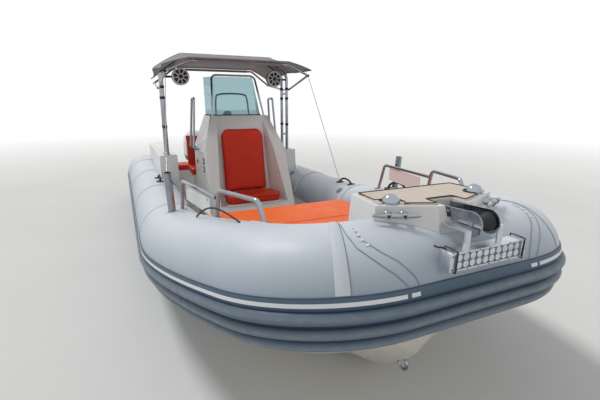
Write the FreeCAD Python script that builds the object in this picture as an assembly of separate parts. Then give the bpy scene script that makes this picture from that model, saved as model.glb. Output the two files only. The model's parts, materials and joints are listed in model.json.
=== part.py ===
"""Rigid inflatable boat: a moulded deep-V hull, a square-bowed air tube collar, a centre console
with a seat in its front, a stainless arch with a cloth top, and one outboard engine.

Millimetres. +X points to the bow, +Y to port and +Z up. The origin is amidships on the
centreline, at the waterline. Each sub-part is written to parts/NODE.step.
"""

import FreeCAD, Part
import math
import os

V = FreeCAD.Vector
FIT = 0.3  # clearance left between pieces that seat on a curved face
PIN_PLAY = 0.05  # radial clearance of a pin in its bore

# Air tube collar
TUBE_R = 262.0
TUBE_Y = 928.0  # tube centre to the centreline, along the straight sides
TUBE_Z = 415.0  # tube centre above the waterline, along the straight sides
TUBE_AFT_X = -2750.0
KNEE_X = 300.0  # where the collar starts to rise towards the bow
KNEE_R = 6200.0
SHEER_DEG = 10.3
FLARE_R = 3700.0  # slow inward bend of the side tubes
FLARE_DEG = 20.3
CORNER_R = 410.0  # the bow's two corners
CONE_LENGTH = 330.0
CONE_TIP_R = 95.0

# The bow's foremost point on the tube's centre line, to the millimetre: the bow's fittings follow it
SHEER, FLARE = math.radians(SHEER_DEG), math.radians(FLARE_DEG)
BOW_REACH = FLARE_R * math.sin(FLARE) + CORNER_R * (1 - math.sin(FLARE))
RISE_X = KNEE_X + KNEE_R * math.sin(SHEER)  # from here on the tube rises in a straight line
RISE_Z = TUBE_Z + KNEE_R * (1 - math.cos(SHEER))
BOW_X = float(round(RISE_X + BOW_REACH * math.cos(SHEER)))
BOW_Z = float(round(RISE_Z + BOW_REACH * math.sin(SHEER)))


def tube_height(x):
    """The height of the tube's centre line at one place along the boat, to the millimetre."""
    if x > RISE_X:
        return round(RISE_Z + (x - RISE_X) * math.tan(SHEER))
    if x > KNEE_X:
        return round(TUBE_Z + KNEE_R - math.sqrt(KNEE_R**2 - (x - KNEE_X) ** 2))
    return round(TUBE_Z)


# Rubbing strake round the outside of the collar
STRAKE_TOP_DEG = 8.0
STRAKE_END_DEG = -44.0
STRAKE_BASE = 5.0
RIB_HEIGHT = 20.0
RIB_TABLE = ((-3.0, -14.5), (-17.0, -28.5), (-31.0, -42.5))  # from and to, in degrees on the tube

# Hull, deck and transom
TRANSOM_X = TUBE_AFT_X
SOLE_THICK = 40.0
SOLE_Z = 130.0
WELL_HALF = 668.0  # inside half-width of the cockpit
LINER = 80.0
LINER_TOP_Z = TUBE_Z + 25.0
TRANSOM_THICK = 60.0
TRANSOM_CUT_Z = 395.0
TRANSOM_CUT_HALF = 330.0
TRANSOM_SHOULDER = 160.0  # how far its sides rise above the cut, at 45 degrees
HULL_STATIONS = (
    # x, keel z, chine y, chine z, sheer y, sheer z
    (TRANSOM_X, -330, 800, -20, 890, 232),
    (-900, -330, 810, 0, 895, 232),
    (500, -325, 800, 40, 890, 238),
    (BOW_X - 1635.0, -290, 745, 110, 872, 290),
    (BOW_X - 1135.0, -225, 660, 185, 840, 362),
    (BOW_X - 685.0, -110, 555, 275, 780, 432),
    (BOW_X - 335.0, 40, 440, 370, 670, 487),
    (BOW_X - 135.0, 210, 330, 440, 540, 520),
    (BOW_X - 55.0, 300, 260, 475, 430, 532),
    (BOW_X - 15.0, 385, 180, 500, 300, 540),
)

# Bow locker and sun pad
LOCKER_AFT_X = 985.0
PAD_TOP_Z = 620.0
PAD_THICK = 80.0
PAD_GAP = 22.0

# Bow fairing
FAIRING_TOP_Z = BOW_Z + 326.0
FAIRING_BOTTOM_Z = BOW_Z + 98.0
# The top's and the foot's corners: x and half-width
FAIRING_PLAN = ((BOW_X - 235.0, 300.0), (BOW_X - 7.0, 328.0), (BOW_X + 103.0, 95.0))
FAIRING_FOOT = ((BOW_X - 245.0, 315.0), (BOW_X + 10.0, 348.0), (BOW_X + 185.0, 125.0))
NOTCH_HALF = 62.0
NOTCH_AFT_X = BOW_X + 15.0
NOTCH_Z = BOW_Z + 280.0
NOTCH_LIP_X = BOW_X + 150.0
FAIRING_PAD_THICK = 6.0
FAIRING_PAD_INSET = 24.0

# Bow fittings
ROLLER_X = BOW_X + 230.0
ROLLER_Z = BOW_Z + 280.0
ROLLER_R = 38.0
ROLLER_WIDTH = 84.0
CHEEK_THICK = 5.0
PIN_R = 8.0
DOME_R = 38.0
DOME_AT = (BOW_X - 23.0, 240.0)
CLEAT_Z = BOW_Z + 296.0
CLEAT_SETBACK = 78.0
CLEAT_LENGTH = 190.0
CLEAT_FEET = 32.0
LIGHT_BAR_X = BOW_X + 233.0
LIGHT_BAR_Z = BOW_Z + 166.0
LIGHT_ARM_Z = BOW_Z + 260.0
LIGHT_BAR_LENGTH = 400.0
LIGHT_BAR_HEIGHT = 74.0
LIGHT_BAR_DEPTH = 50.0
EYE_X = BOW_X - 145.0
EYE_Z = 245.0

# Stainless rails on the tube
RAIL_R = 12.5
FOOT_R = 34.0
FOOT_THICK = 8.0
BOW_RAIL = (
    (2020, 785, 0),
    (2075, 775, tube_height(2075) + 414),
    (2440, 665, tube_height(2440) + 360),
    (2500, 650, 0),
)
SIDE_RAIL = ((1290, 880, 0), (1380, 880, tube_height(1380) + 475), (2035, 783, tube_height(2035) + 371))
BOARD_RUN = (1470.0, 1930.0)  # where a name board starts and ends, along X
BOARD_HEIGHT = 105.0
ROD_HOLDER_FOOT = (1425.0, 965.0)
ROD_HOLDER_TOP = (1442.0, 982.0, tube_height(1442) + 541.0)
ROD_HOLDER_R = 26.0
ROD_HOLDER_WALL = 2.5

# Console
CONSOLE_AFT_X = -600.0
CONSOLE_FOOT_X = 500.0
CONSOLE_HALF = 450.0
SHOULDER_X = 50.0
SHOULDER_Z = 1045.0
BROW_X = -180.0
BROW_Z = 1385.0
BROW_HALF = 335.0
HELM_TOP_X = -500.0
HELM_KNEE_Z = 950.0
WALL = 25.0
SEAT_DECK_Z = 470.0
RECESS_FOOT_X = -20.0
RECESS_BACK_HALF = 262.0
RECESS_FRONT_HALF = 372.0
LID_THICK = 18.0
LOCKER_INSET = 40.0  # from the lid's edge to the hole under it
LID_FRONT_X = 345.0
LID_AFT_X = 75.0
LID_HALF = 300.0
SEAT_CUSHION_THICK = 82.0
BACK_CUSHION_THICK = 70.0
BACK_CUSHION_TOP_Z = 1240.0
DOOR_X = (-470.0, -60.0)
DOOR_Z = (738.0, 985.0)
DOOR_GAP = 5.0
HINGE_R = 8.0
HINGE_PIN_R = 4.0
HINGE_LENGTH = 40.0
HINGE_LUG = 14.0

# Windscreen and console rails
SCREEN_TOP_Z = 1815.0
SCREEN_THICK = 6.0
SCREEN_BOTTOM = ((-225.0, 262.0), (-490.0, 318.0))  # x and half-width: front corner, aft edge
SCREEN_TOP = ((-410.0, 236.0), (-610.0, 300.0))
SCREEN_TUBE_R = 11.0
HAND_RAIL_R = 12.5
HAND_RAIL_X = (-330.0, -540.0)
HAND_RAIL_FOOT_Z = DOOR_Z[1] + 25.0  # clear of the hatch below it
HAND_RAIL_OUT = 55.0
HAND_RAIL_RISE = 190.0  # above the brow

# Helm
WHEEL_R = 170.0
WHEEL_RIM_R = 14.0
WHEEL_REACH = 125.0
WHEEL_HUB_R = 42.0
SHAFT_R = 11.0
BENCH_X = (TRANSOM_X + 460.0, TRANSOM_X + 860.0)  # the stern bench, aft and fore
HELM_SEAT_X = (BENCH_X[1] + CONSOLE_AFT_X) / 2 - 85.0
HELM_SEAT_HALF = 430.0
HELM_SEAT_Z = 660.0
HELM_CUSHION = 90.0
HELM_BACK_Z = 1090.0
HELM_LEAN = 0.16

# Coamings, arch and cloth top
COAMING_TOP_Z = 925.0
COAMING_FRONT_X = -520.0
COAMING_AFT_X = TRANSOM_X + 450.0
COAMING_IN_Y = WELL_HALF - 18.0
COAMING_OUT_Y = COAMING_IN_Y + 210.0
ARCH_R = 19.0
ARCH_X = (-620.0, -790.0)
ARCH_Y = COAMING_IN_Y + 115.0
ARCH_BEND_Z = 1860.0
ARCH_TOP_Z = 2045.0
ARCH_TOP_HALF = 490.0
ARCH_BEND_R = 60.0
ARCH_TIE_Z = (1120.0, 1640.0)
HOOP_R = 12.5
CANOPY_THICK = 8.0
CANOPY_GAP = 4.0
CANOPY_TOP_Z = ARCH_TOP_Z + ARCH_R + CANOPY_THICK + FIT
CANOPY_HOOPS = (
    # x, z across the top, half-width of the top, z at the edge, half-width at the edge
    (0.0, 1970.0, 540.0, 1890.0, 815.0),
    (ARCH_X[0], CANOPY_TOP_Z, 540.0, 1905.0, 840.0),
    (ARCH_X[1], CANOPY_TOP_Z, 540.0, 1905.0, 840.0),
    (-1400.0, 1985.0, 540.0, 1830.0, 815.0),
)
SPEAKER_AT = (-530.0, 565.0, 1812.0)
SPEAKER_R = 95.0
SPEAKER_DEPTH = 100.0
STAY_R = 3.5
STAY_FOOT = (320.0, 1040.0)

# Stern bench
BENCH_Z = 520.0
BENCH_CUSHION = 80.0
BENCH_CUSHION_GAP = 25.0

# Outboard engine
TILT_X = TRANSOM_X - 85.0
TILT_Z = 420.0
TILT_R = 16.0
SWIVEL_X = TRANSOM_X - 180.0
SWIVEL_R = 40.0
STEER_PIN_R = 16.0
YOKE_THICK = 36.0
YOKE_GAP = 6.0
COLUMN_Z = 90.0  # foot of the steering column
COLUMN_LENGTH = 330.0
LEG_AFT_X = TRANSOM_X - 410.0
LEG_FRONT_X = TRANSOM_X - 240.0
COWL_BASE_Z = 480.0
COWL_TOP_Z = 1040.0
COWL_TABLE = (
    # z, fore x, aft x, half-width
    (COWL_BASE_Z, TRANSOM_X - 155.0, TRANSOM_X - 580.0, 190.0),
    (COWL_BASE_Z + 160, TRANSOM_X - 120.0, TRANSOM_X - 650.0, 225.0),
    (COWL_TOP_Z - 130, TRANSOM_X - 140.0, TRANSOM_X - 640.0, 205.0),
    (COWL_TOP_Z, TRANSOM_X - 210.0, TRANSOM_X - 540.0, 130.0),
)
BRACKET_WEB_Z = (100.0, 300.0)
PROP_X = TRANSOM_X - 465.0
PROP_Z = -560.0
PROP_R = 185.0
PROP_HUB_R = 50.0
PROP_LENGTH = 120.0
PROP_SHAFT_R = 14.0
HUB_GAP = 8.0  # between the propeller and the gearcase
TORPEDO_R = 46.0
SKEG_DEPTH = 210.0
SKEG_THICK = 10.0
PLATE_OVER_PROP = 20.0
PLATE_THICK = 12.0
BLADE_TABLE = (
    # radius, chord, pitch in degrees, thickness
    (PROP_HUB_R - 10, 72.0, 62.0, 14.0),
    (0.48 * PROP_R, 104.0, 47.0, 11.0),
    (0.70 * PROP_R, 116.0, 36.0, 8.0),
    (0.89 * PROP_R, 88.0, 30.0, 6.0),
    (PROP_R, 36.0, 26.0, 4.0),
)


def box(x0, x1, y0, y1, z0, z1):
    """A box between two opposite corners."""
    return Part.makeBox(x1 - x0, y1 - y0, z1 - z0, V(x0, y0, z0))


def mirrored(shape):
    """The same piece on the other side of the centreline."""
    return shape.mirror(V(0, 0, 0), V(0, 1, 0))


def both_sides(shape):
    """A piece and its mirror image, as one node."""
    return Part.makeCompound([shape, mirrored(shape)])


def joined(shapes):
    """One solid from overlapping or touching ones."""
    shapes = list(shapes)
    whole = shapes[0].multiFuse(shapes[1:]) if len(shapes) > 1 else shapes[0]
    return whole.removeSplitter()


def largest(shape):
    """The largest of a cut's solids."""
    return max(shape.Solids, key=lambda solid: solid.Volume)


def face_of(points):
    """A flat face with straight sides."""
    return Part.Face(Part.makePolygon([V(*p) for p in points] + [V(*points[0])]))


def side_prism(profile, y0, y1):
    """A side view of x, z points, given thickness from y0 to y1."""
    return face_of([(x, y0, z) for x, z in profile]).extrude(V(0, y1 - y0, 0))


def plan_prism(profile, z0, z1):
    """A plan of x, y points, given height from z0 to z1."""
    return face_of([(x, y, z0) for x, y in profile]).extrude(V(0, 0, z1 - z0))


def front_prism(profile, x0, x1):
    """A front view of y, z points, given length from x0 to x1."""
    return face_of([(x0, y, z) for y, z in profile]).extrude(V(x1 - x0, 0, 0))


def symmetric(half):
    """A closed plan or front view from the points of its port half."""
    return list(half) + [(a, -b) for a, b in reversed(half)]


def symmetric_front(half):
    """A closed front view, y then z, from the points of its port half."""
    return list(half) + [(-y, z) for y, z in reversed(half)]


def rod(start, end, radius):
    """A round bar between two points."""
    along = V(*end) - V(*start)
    return Part.makeCylinder(radius, along.Length, V(*start), along)


def bent_tube(points, radius, bend):
    """A round tube through points, with an arc of radius bend at each corner between."""
    points = [V(*p) for p in points]
    pieces = []
    at = points[0]
    for i in range(1, len(points)):
        corner = points[i]
        along = (corner - points[i - 1]).normalize()
        if i == len(points) - 1:
            pieces.append(rod(at, corner, radius))
            break
        onward = (points[i + 1] - corner).normalize()
        turn = along.getAngle(onward)
        set_back = bend * math.tan(turn / 2)
        arc_start = corner - along * set_back
        pieces.append(rod(at, arc_start, radius))
        axis = along.cross(onward).normalize()
        centre = arc_start + axis.cross(along) * bend
        section = Part.Face(Part.Wire(Part.makeCircle(radius, arc_start, along)))
        pieces.append(section.revolve(centre, axis, math.degrees(turn)))
        at = corner + onward * set_back
    return joined(pieces)


def collar_moves():
    """The moves that carry a section from the port stern to the bow's centreline."""
    moves = [("along", V(KNEE_X - TUBE_AFT_X, 0, 0))]
    at = V(KNEE_X, TUBE_Y, TUBE_Z)
    moves.append(("turn", at + V(0, 0, KNEE_R), V(0, -1, 0), SHEER_DEG))
    sheer = math.radians(SHEER_DEG)
    at += V(KNEE_R * math.sin(sheer), 0, KNEE_R * (1 - math.cos(sheer)))
    ahead = V(math.cos(sheer), 0, math.sin(sheer))
    down = V(math.sin(sheer), 0, -math.cos(sheer))
    inboard = V(0, -1, 0)
    moves.append(("turn", at + inboard * FLARE_R, down, FLARE_DEG))
    flare = math.radians(FLARE_DEG)
    at += ahead * (FLARE_R * math.sin(flare)) + inboard * (FLARE_R * (1 - math.cos(flare)))
    centre = at + (inboard * math.cos(flare) - ahead * math.sin(flare)) * CORNER_R
    moves.append(("turn", centre, down, 90 - FLARE_DEG))
    end = centre + ahead * CORNER_R
    moves.append(("along", V(0, -end.y, 0)))
    return moves, end


COLLAR_MOVES, BOW_POINT = collar_moves()


def swept_round_collar(section):
    """Both halves of the collar swept by a section that starts at the port stern."""
    pieces = []
    for move in COLLAR_MOVES:
        if move[0] == "along":
            pieces.append(section.extrude(move[1]))
            section = section.translated(move[1])
        else:
            pieces.append(section.revolve(move[1], move[2], move[3]))
            section = section.rotated(move[1], move[2], move[3])
    half = joined(pieces)
    return joined([half, mirrored(half)])


def tube_section(radius):
    """A round section at the port stern."""
    circle = Part.makeCircle(radius, V(TUBE_AFT_X, TUBE_Y, TUBE_Z), V(1, 0, 0))
    return Part.Face(Part.Wire(circle))


def on_tube(radius, degrees):
    """A point of the port stern section, measured up from its outer side."""
    angle = math.radians(degrees)
    return V(TUBE_AFT_X, TUBE_Y + radius * math.cos(angle), TUBE_Z + radius * math.sin(angle))


def stern_cone():
    """The tapered end of the port tube, with a round tip."""
    centre = V(TUBE_AFT_X, TUBE_Y, TUBE_Z)
    tip = centre - V(CONE_LENGTH, 0, 0)
    cone = Part.makeCone(TUBE_R, CONE_TIP_R, CONE_LENGTH, centre, V(-1, 0, 0))
    return joined([cone, Part.makeSphere(CONE_TIP_R, tip)])


def tube_collar():
    """The air tube, closed at each stern end by a cone."""
    end = stern_cone()
    return joined([swept_round_collar(tube_section(TUBE_R)), end, mirrored(end)])


def rub_strake():
    """A ribbed rubber band glued round the outer side of the tube."""
    inner = TUBE_R + FIT
    base = TUBE_R + STRAKE_BASE
    stops = [on_tube(base, STRAKE_TOP_DEG)]
    for rib_from, rib_to in RIB_TABLE:
        stops.append(on_tube(base, rib_from))
        stops.append((on_tube(base + RIB_HEIGHT, (rib_from + rib_to) / 2), on_tube(base, rib_to)))
    stops += [on_tube(base, STRAKE_END_DEG), on_tube(inner, STRAKE_END_DEG)]
    at = on_tube(inner, STRAKE_TOP_DEG)
    edges = []
    for stop in stops:
        if isinstance(stop, tuple):
            edges.append(Part.Arc(at, stop[0], stop[1]).toShape())
            at = stop[1]
        else:
            edges.append(Part.LineSegment(at, stop).toShape())
            at = stop
    middle = on_tube(inner, (STRAKE_TOP_DEG + STRAKE_END_DEG) / 2)
    edges.append(Part.Arc(at, middle, on_tube(inner, STRAKE_TOP_DEG)).toShape())
    return swept_round_collar(Part.Face(Part.Wire(edges)))


def hull_section(x, keel_z, chine_y, chine_z, sheer_y, sheer_z):
    """A hard-chined section: keel, chine and sheer on each side, flat across the top."""
    half = [(0, keel_z), (chine_y, chine_z), (chine_y + 35, chine_z + 4), (sheer_y, sheer_z)]
    outline = half + [(-y, z) for y, z in reversed(half[1:])]
    points = [V(x, y, z) for y, z in outline]
    return Part.makePolygon(points + [points[0]])


def hull(seat):
    """The moulded bottom, solid up to the sole, with the collar's bed along its edge."""
    body = Part.makeLoft([hull_section(*row) for row in HULL_STATIONS], True, True)
    half = WELL_HALF + LINER
    well = box(TRANSOM_X - 10, LOCKER_AFT_X, -half, half, SOLE_Z - SOLE_THICK, LINER_TOP_Z)
    return body.cut(seat).cut(well)


def deck(seat):
    """The cockpit liner: a sole, and low side walls that meet the tube."""
    fore = TRANSOM_X + TRANSOM_THICK
    half = WELL_HALF + LINER
    block = box(fore, LOCKER_AFT_X, -half, half, SOLE_Z - SOLE_THICK, LINER_TOP_Z)
    inside = box(fore - 10, LOCKER_AFT_X + 10, -WELL_HALF, WELL_HALF, SOLE_Z, LINER_TOP_Z + 10)
    return largest(block.cut(inside).cut(seat))


def transom(seat):
    """The thick stern board, cut down in the middle for the engine."""
    half = WELL_HALF + LINER
    outline = symmetric_front(
        [
            (half, SOLE_Z - SOLE_THICK),
            (half, TRANSOM_CUT_Z + TRANSOM_SHOULDER),
            (TRANSOM_CUT_HALF + TRANSOM_SHOULDER, TRANSOM_CUT_Z + TRANSOM_SHOULDER),
            (TRANSOM_CUT_HALF, TRANSOM_CUT_Z),
        ]
    )
    return largest(front_prism(outline, TRANSOM_X, TRANSOM_X + TRANSOM_THICK).cut(seat))


def bow_locker(seat):
    """The raised fore deck that carries the sun pad, standing on the hull's flat top."""
    top = PAD_TOP_Z - PAD_THICK
    rings = []
    for x, _, _, _, sheer_y, sheer_z in HULL_STATIONS[:-2]:
        ring = [V(x, sheer_y, sheer_z), V(x, sheer_y, top), V(x, -sheer_y, top), V(x, -sheer_y, sheer_z)]
        rings.append(Part.makePolygon(ring + [ring[0]]))
    body = Part.makeLoft(rings, True, True)
    aft = box(TRANSOM_X - 10, LOCKER_AFT_X, -TUBE_Y, TUBE_Y, 0, PAD_TOP_Z)
    return largest(body.cut(aft).cut(seat))


def sun_pad():
    """A flat cushion over the fore deck, cut to the inside of the collar."""
    room = swept_round_collar(tube_section(TUBE_R + PAD_GAP))
    half = WELL_HALF + LINER
    block = box(LOCKER_AFT_X, BOW_POINT.x, -half, half, PAD_TOP_Z - PAD_THICK + FIT, PAD_TOP_Z)
    return largest(block.cut(room))


def plan_ring(plan, z):
    """A closed outline at one height from the points of its port half."""
    points = [V(x, y, z) for x, y in symmetric(plan)]
    return Part.makePolygon(points + [points[0]])


def bow_fairing(seat):
    """The moulded housing on the bow tube, wider at its foot and notched for the anchor roller."""
    rings = [plan_ring(FAIRING_FOOT, FAIRING_BOTTOM_Z), plan_ring(FAIRING_PLAN, FAIRING_TOP_Z)]
    block = Part.makeLoft(rings, True, True)
    front_x = FAIRING_FOOT[-1][0] + 50
    notch = box(NOTCH_AFT_X, front_x, -NOTCH_HALF, NOTCH_HALF, NOTCH_Z, FAIRING_TOP_Z + 10)
    return largest(block.cut(seat).cut(notch))


def fairing_pad():
    """A thin tread pad on the fairing, cut out round the notch and the lamps."""
    inset = FAIRING_PAD_INSET
    aft, corner, front = FAIRING_PLAN
    plan = [
        (aft[0] + inset, aft[1] - inset),
        (corner[0] - inset / 2, corner[1] - inset),
        (front[0] - inset, front[1]),
    ]
    low, high = FAIRING_TOP_Z, FAIRING_TOP_Z + FAIRING_PAD_THICK
    pad = plan_prism(symmetric(plan), low, high)
    half = NOTCH_HALF + inset / 2
    pad = pad.cut(box(NOTCH_AFT_X - inset / 2, front[0], -half, half, low - 1, high + 1))
    for side in (1, -1):
        pad = pad.cut(Part.makeCylinder(DOME_R + inset / 2, 20, V(DOME_AT[0], side * DOME_AT[1], low - 1)))
    return pad


def roller_cheeks():
    """Two stainless side plates and their pin, bolted in the fairing's notch."""
    half_gap = ROLLER_WIDTH / 2 + 3
    nose = ROLLER_R + 12
    start = NOTCH_AFT_X + 10
    foot = NOTCH_Z + FIT
    side = [
        (start, foot),
        (NOTCH_LIP_X, foot),
        (ROLLER_X, ROLLER_Z - nose),
        (ROLLER_X, ROLLER_Z + nose),
        (start, FAIRING_TOP_Z - 10),
    ]
    back = side_prism(side, half_gap, half_gap + CHEEK_THICK)
    disc = Part.makeCylinder(nose, CHEEK_THICK, V(ROLLER_X, half_gap, ROLLER_Z), V(0, 1, 0))
    plate = joined([back, disc])
    floor = box(start, NOTCH_LIP_X, -half_gap, half_gap, foot, foot + CHEEK_THICK)
    reach = half_gap + CHEEK_THICK + 6
    pin = rod((ROLLER_X, -reach, ROLLER_Z), (ROLLER_X, reach, ROLLER_Z), PIN_R)
    return joined([plate, mirrored(plate), floor, pin])


def anchor_roller():
    """A waisted rubber roller, bored for its pin."""
    half = ROLLER_WIDTH / 2
    waist = ROLLER_R - 14
    bore = PIN_R + PIN_PLAY
    shoulder = half - 12
    profile = [
        (bore, -half),
        (ROLLER_R, -half),
        (ROLLER_R, -shoulder),
        (waist, -8),
        (waist, 8),
        (ROLLER_R, shoulder),
        (ROLLER_R, half),
        (bore, half),
    ]
    section = face_of([(ROLLER_X + r, y, ROLLER_Z) for r, y in profile])
    return section.revolve(V(ROLLER_X, 0, ROLLER_Z), V(0, 1, 0), 360)


def bow_lamp():
    """A domed lamp on the port side of the fairing's top."""
    x, y = DOME_AT
    top = FAIRING_TOP_Z
    ball = Part.makeSphere(DOME_R, V(x, y, top + 4))
    dome = ball.common(box(x - 99, x + 99, y - 99, y + 99, top + 4, top + 99))
    return joined([dome, Part.makeCylinder(DOME_R + 6, 4, V(x, y, top))])


def bow_cleat(housing):
    """A mooring cleat on the port side of the fairing, parallel to its edge."""
    (x0, y0), (x1, y1) = FAIRING_PLAN[1], FAIRING_PLAN[2]
    along = V(x1 - x0, y1 - y0, 0).normalize()
    out = V(-along.y, along.x, 0)
    middle = V(x0, y0, CLEAT_Z) + along * CLEAT_SETBACK
    feet = [Part.makeCylinder(10, 40, middle + along * d, out) for d in (-CLEAT_FEET, CLEAT_FEET)]
    start = middle - along * (CLEAT_LENGTH / 2) + out * 40
    return largest(joined(feet + [Part.makeCylinder(9, CLEAT_LENGTH, start, along)]).cut(housing))


def light_bar(housing):
    """A slim lamp housing across the bow, on two short arms."""
    half = LIGHT_BAR_LENGTH / 2
    low = LIGHT_BAR_Z - LIGHT_BAR_HEIGHT / 2
    high = LIGHT_BAR_Z + LIGHT_BAR_HEIGHT / 2
    body = box(LIGHT_BAR_X, LIGHT_BAR_X + LIGHT_BAR_DEPTH, -half, half, low, high)
    side = [
        (FAIRING_PLAN[-1][0], LIGHT_ARM_Z),
        (LIGHT_BAR_X + 16, LIGHT_ARM_Z),
        (LIGHT_BAR_X + 16, high - 2),
        (LIGHT_BAR_X + 22, high - 2),
        (LIGHT_BAR_X + 22, LIGHT_ARM_Z + 6),
        (FAIRING_PLAN[-1][0], LIGHT_ARM_Z + 6),
    ]
    arm = side_prism(side, 72, 102)
    return largest(joined([body, arm, mirrored(arm)]).cut(housing))


def bow_eye(bottom):
    """A stainless towing eye on the stem."""
    ring = Part.makeTorus(32, 8, V(EYE_X, 0, EYE_Z - 60), V(0, 1, 0))
    return largest(ring.cut(bottom))


def seated(shape, seat):
    """A fitting cut to the tube's surface, with its clearance."""
    return largest(shape.cut(seat))


def foot_pad(x, y, seat, tube_top):
    """A round foot that follows the tube's surface."""
    disc = Part.makeCylinder(FOOT_R, 140, V(x, y, tube_top - 135))
    shell = swept_round_collar(tube_section(TUBE_R + FOOT_THICK))
    return disc.common(shell).cut(seat)


def top_of(shape, x, y):
    """The height of a shape's top above a point of the plan."""
    line = Part.makeLine(V(x, y, 3000), V(x, y, -1000))
    return shape.common(line).BoundBox.ZMax


def rails(route, seat, collar):
    """A bent rail on the tube; a height of 0 in its route means the tube's top."""
    points = []
    for x, y, z in route:
        points.append((x, y, z if z else top_of(collar, x, y) - 40))
    rail = bent_tube(points, RAIL_R, 45)
    pieces = [rail]
    for x, y, z in route:
        if not z:
            pieces.append(foot_pad(x, y, seat, top_of(collar, x, y)))
    return largest(joined(pieces).cut(seat))


def name_boards():
    """A blank board under each side rail."""
    start, end = BOARD_RUN
    (x0, y0, z0), (x1, y1, z1) = SIDE_RAIL[1], SIDE_RAIL[2]
    slope = (y1 - y0) / (x1 - x0)
    rise = (z1 - z0) / (x1 - x0)
    plan = [(x, y0 + slope * (x - x0) + dy) for x, dy in ((start, 3), (end, 3), (end, -3), (start, -3))]
    mean = z0 + rise * ((start + end) / 2 - x0) - RAIL_R - 6
    return both_sides(plan_prism(plan, mean - BOARD_HEIGHT, mean))


def rod_holder(seat, collar):
    """An open stainless tube standing on the air tube."""
    x, y = ROD_HOLDER_FOOT
    foot = (x, y, top_of(collar, x, y) - 40)
    outer = rod(foot, ROD_HOLDER_TOP, ROD_HOLDER_R)
    along = V(*ROD_HOLDER_TOP) - V(*foot)
    deep = along.Length - 60
    mouth = Part.makeCylinder(ROD_HOLDER_R - ROD_HOLDER_WALL, deep, V(*ROD_HOLDER_TOP), along * -1)
    pad = foot_pad(x, y, seat, top_of(collar, x, y))
    return largest(joined([outer, pad]).cut(seat).cut(mouth))


def console_outline(inset):
    """The console's side view, x then z, drawn in by a wall's thickness."""
    return [
        (CONSOLE_AFT_X + inset, SOLE_Z),
        (CONSOLE_FOOT_X - inset, SOLE_Z),
        (SHOULDER_X - inset, SHOULDER_Z - inset / 2),
        (BROW_X - inset / 2, BROW_Z - inset),
        (HELM_TOP_X + inset / 2, BROW_Z - inset),
        (CONSOLE_AFT_X + inset, HELM_KNEE_Z),
    ]


def console_body(inset):
    """The console's outer form, or the hollow inside it."""
    side = side_prism(console_outline(inset), -CONSOLE_HALF, CONSOLE_HALF)
    half = CONSOLE_HALF - inset
    front = symmetric_front(
        [(half, SOLE_Z), (half, SHOULDER_Z), (BROW_HALF - inset, BROW_Z + 1)]
    )
    return side.common(front_prism(front, CONSOLE_AFT_X, CONSOLE_FOOT_X))


def recess(back, grow):
    """The room cut for the front seat, or the same with walls round it."""
    side = side_prism(
        [
            (BROW_X - back, BROW_Z + 5),
            (RECESS_FOOT_X - back, SEAT_DECK_Z - grow),
            (CONSOLE_FOOT_X, SEAT_DECK_Z - grow),
            (CONSOLE_FOOT_X, BROW_Z + 5),
        ],
        -CONSOLE_HALF,
        CONSOLE_HALF,
    )
    plan = symmetric(
        [(BROW_X - 60, RECESS_BACK_HALF - 12 + grow), (CONSOLE_FOOT_X, RECESS_FRONT_HALF + 40 + grow)]
    )
    return side.common(plan_prism(plan, SOLE_Z, BROW_Z + 6))


def console():
    """A hollow moulded console with a seat recess, a door hole and a seat locker."""
    walls = recess(WALL, WALL)
    inner = console_body(WALL).cut(walls)
    shell = console_body(0).cut(inner).cut(recess(0, 0))
    side = box(DOOR_X[0], DOOR_X[1], -CONSOLE_HALF - 1, -CONSOLE_HALF + WALL + 1, *DOOR_Z)
    aft, fore, half = LID_AFT_X + LOCKER_INSET, LID_FRONT_X - 2 * LOCKER_INSET, LID_HALF - LOCKER_INSET
    locker = box(aft, fore, -half, half, SEAT_DECK_Z - WALL - 1, SEAT_DECK_Z + 1)
    return largest(shell.cut(side).cut(locker))


def door_axis():
    """Where the side door's hinge pins stand, in plan."""
    return DOOR_X[1] - DOOR_GAP - 5, -CONSOLE_HALF - HINGE_R


def console_door():
    """The starboard side door, with its bored hinge barrels on the forward edge."""
    x, y = door_axis()
    low, high = DOOR_Z[0] + DOOR_GAP, DOOR_Z[1] - DOOR_GAP
    aft, fore = DOOR_X[0] + DOOR_GAP, DOOR_X[1] - DOOR_GAP
    pieces = [box(aft, fore, -CONSOLE_HALF, -CONSOLE_HALF + WALL - 5, low, high)]
    for z in hinge_heights():
        pieces.append(Part.makeCylinder(HINGE_R, HINGE_LENGTH, V(x, y, z)))
        pieces.append(box(x - 34, x, -CONSOLE_HALF - 3, -CONSOLE_HALF + 1, z, z + HINGE_LENGTH))
    door = joined(pieces)
    for z in hinge_heights():
        door = door.cut(Part.makeCylinder(HINGE_PIN_R + PIN_PLAY, HINGE_LENGTH, V(x, y, z)))
    return door


def hinge_heights():
    """The foot of each hinge barrel of the side door."""
    return DOOR_Z[0] + 60, DOOR_Z[1] - 60 - HINGE_LENGTH


def door_hinges():
    """The fixed halves of the door's hinges: a leaf, two lugs and a pin each."""
    x, y = door_axis()
    hinges = []
    for z in hinge_heights():
        low, high = z - HINGE_LUG - FIT, z + HINGE_LENGTH + FIT
        lugs = [Part.makeCylinder(HINGE_R, HINGE_LUG, V(x, y, at)) for at in (low, high)]
        pin = Part.makeCylinder(HINGE_PIN_R, high - low + HINGE_LUG, V(x, y, low))
        leaf = box(x + HINGE_R + 1, x + 44, -CONSOLE_HALF - 3, -CONSOLE_HALF - FIT, low, high + HINGE_LUG)
        ends = []
        for at in (low, high):
            ends.append(box(x, x + 44, -CONSOLE_HALF - 3, -CONSOLE_HALF - FIT, at, at + HINGE_LUG))
        hinges.append(joined(lugs + [pin, leaf] + ends))
    return Part.makeCompound(hinges)


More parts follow.
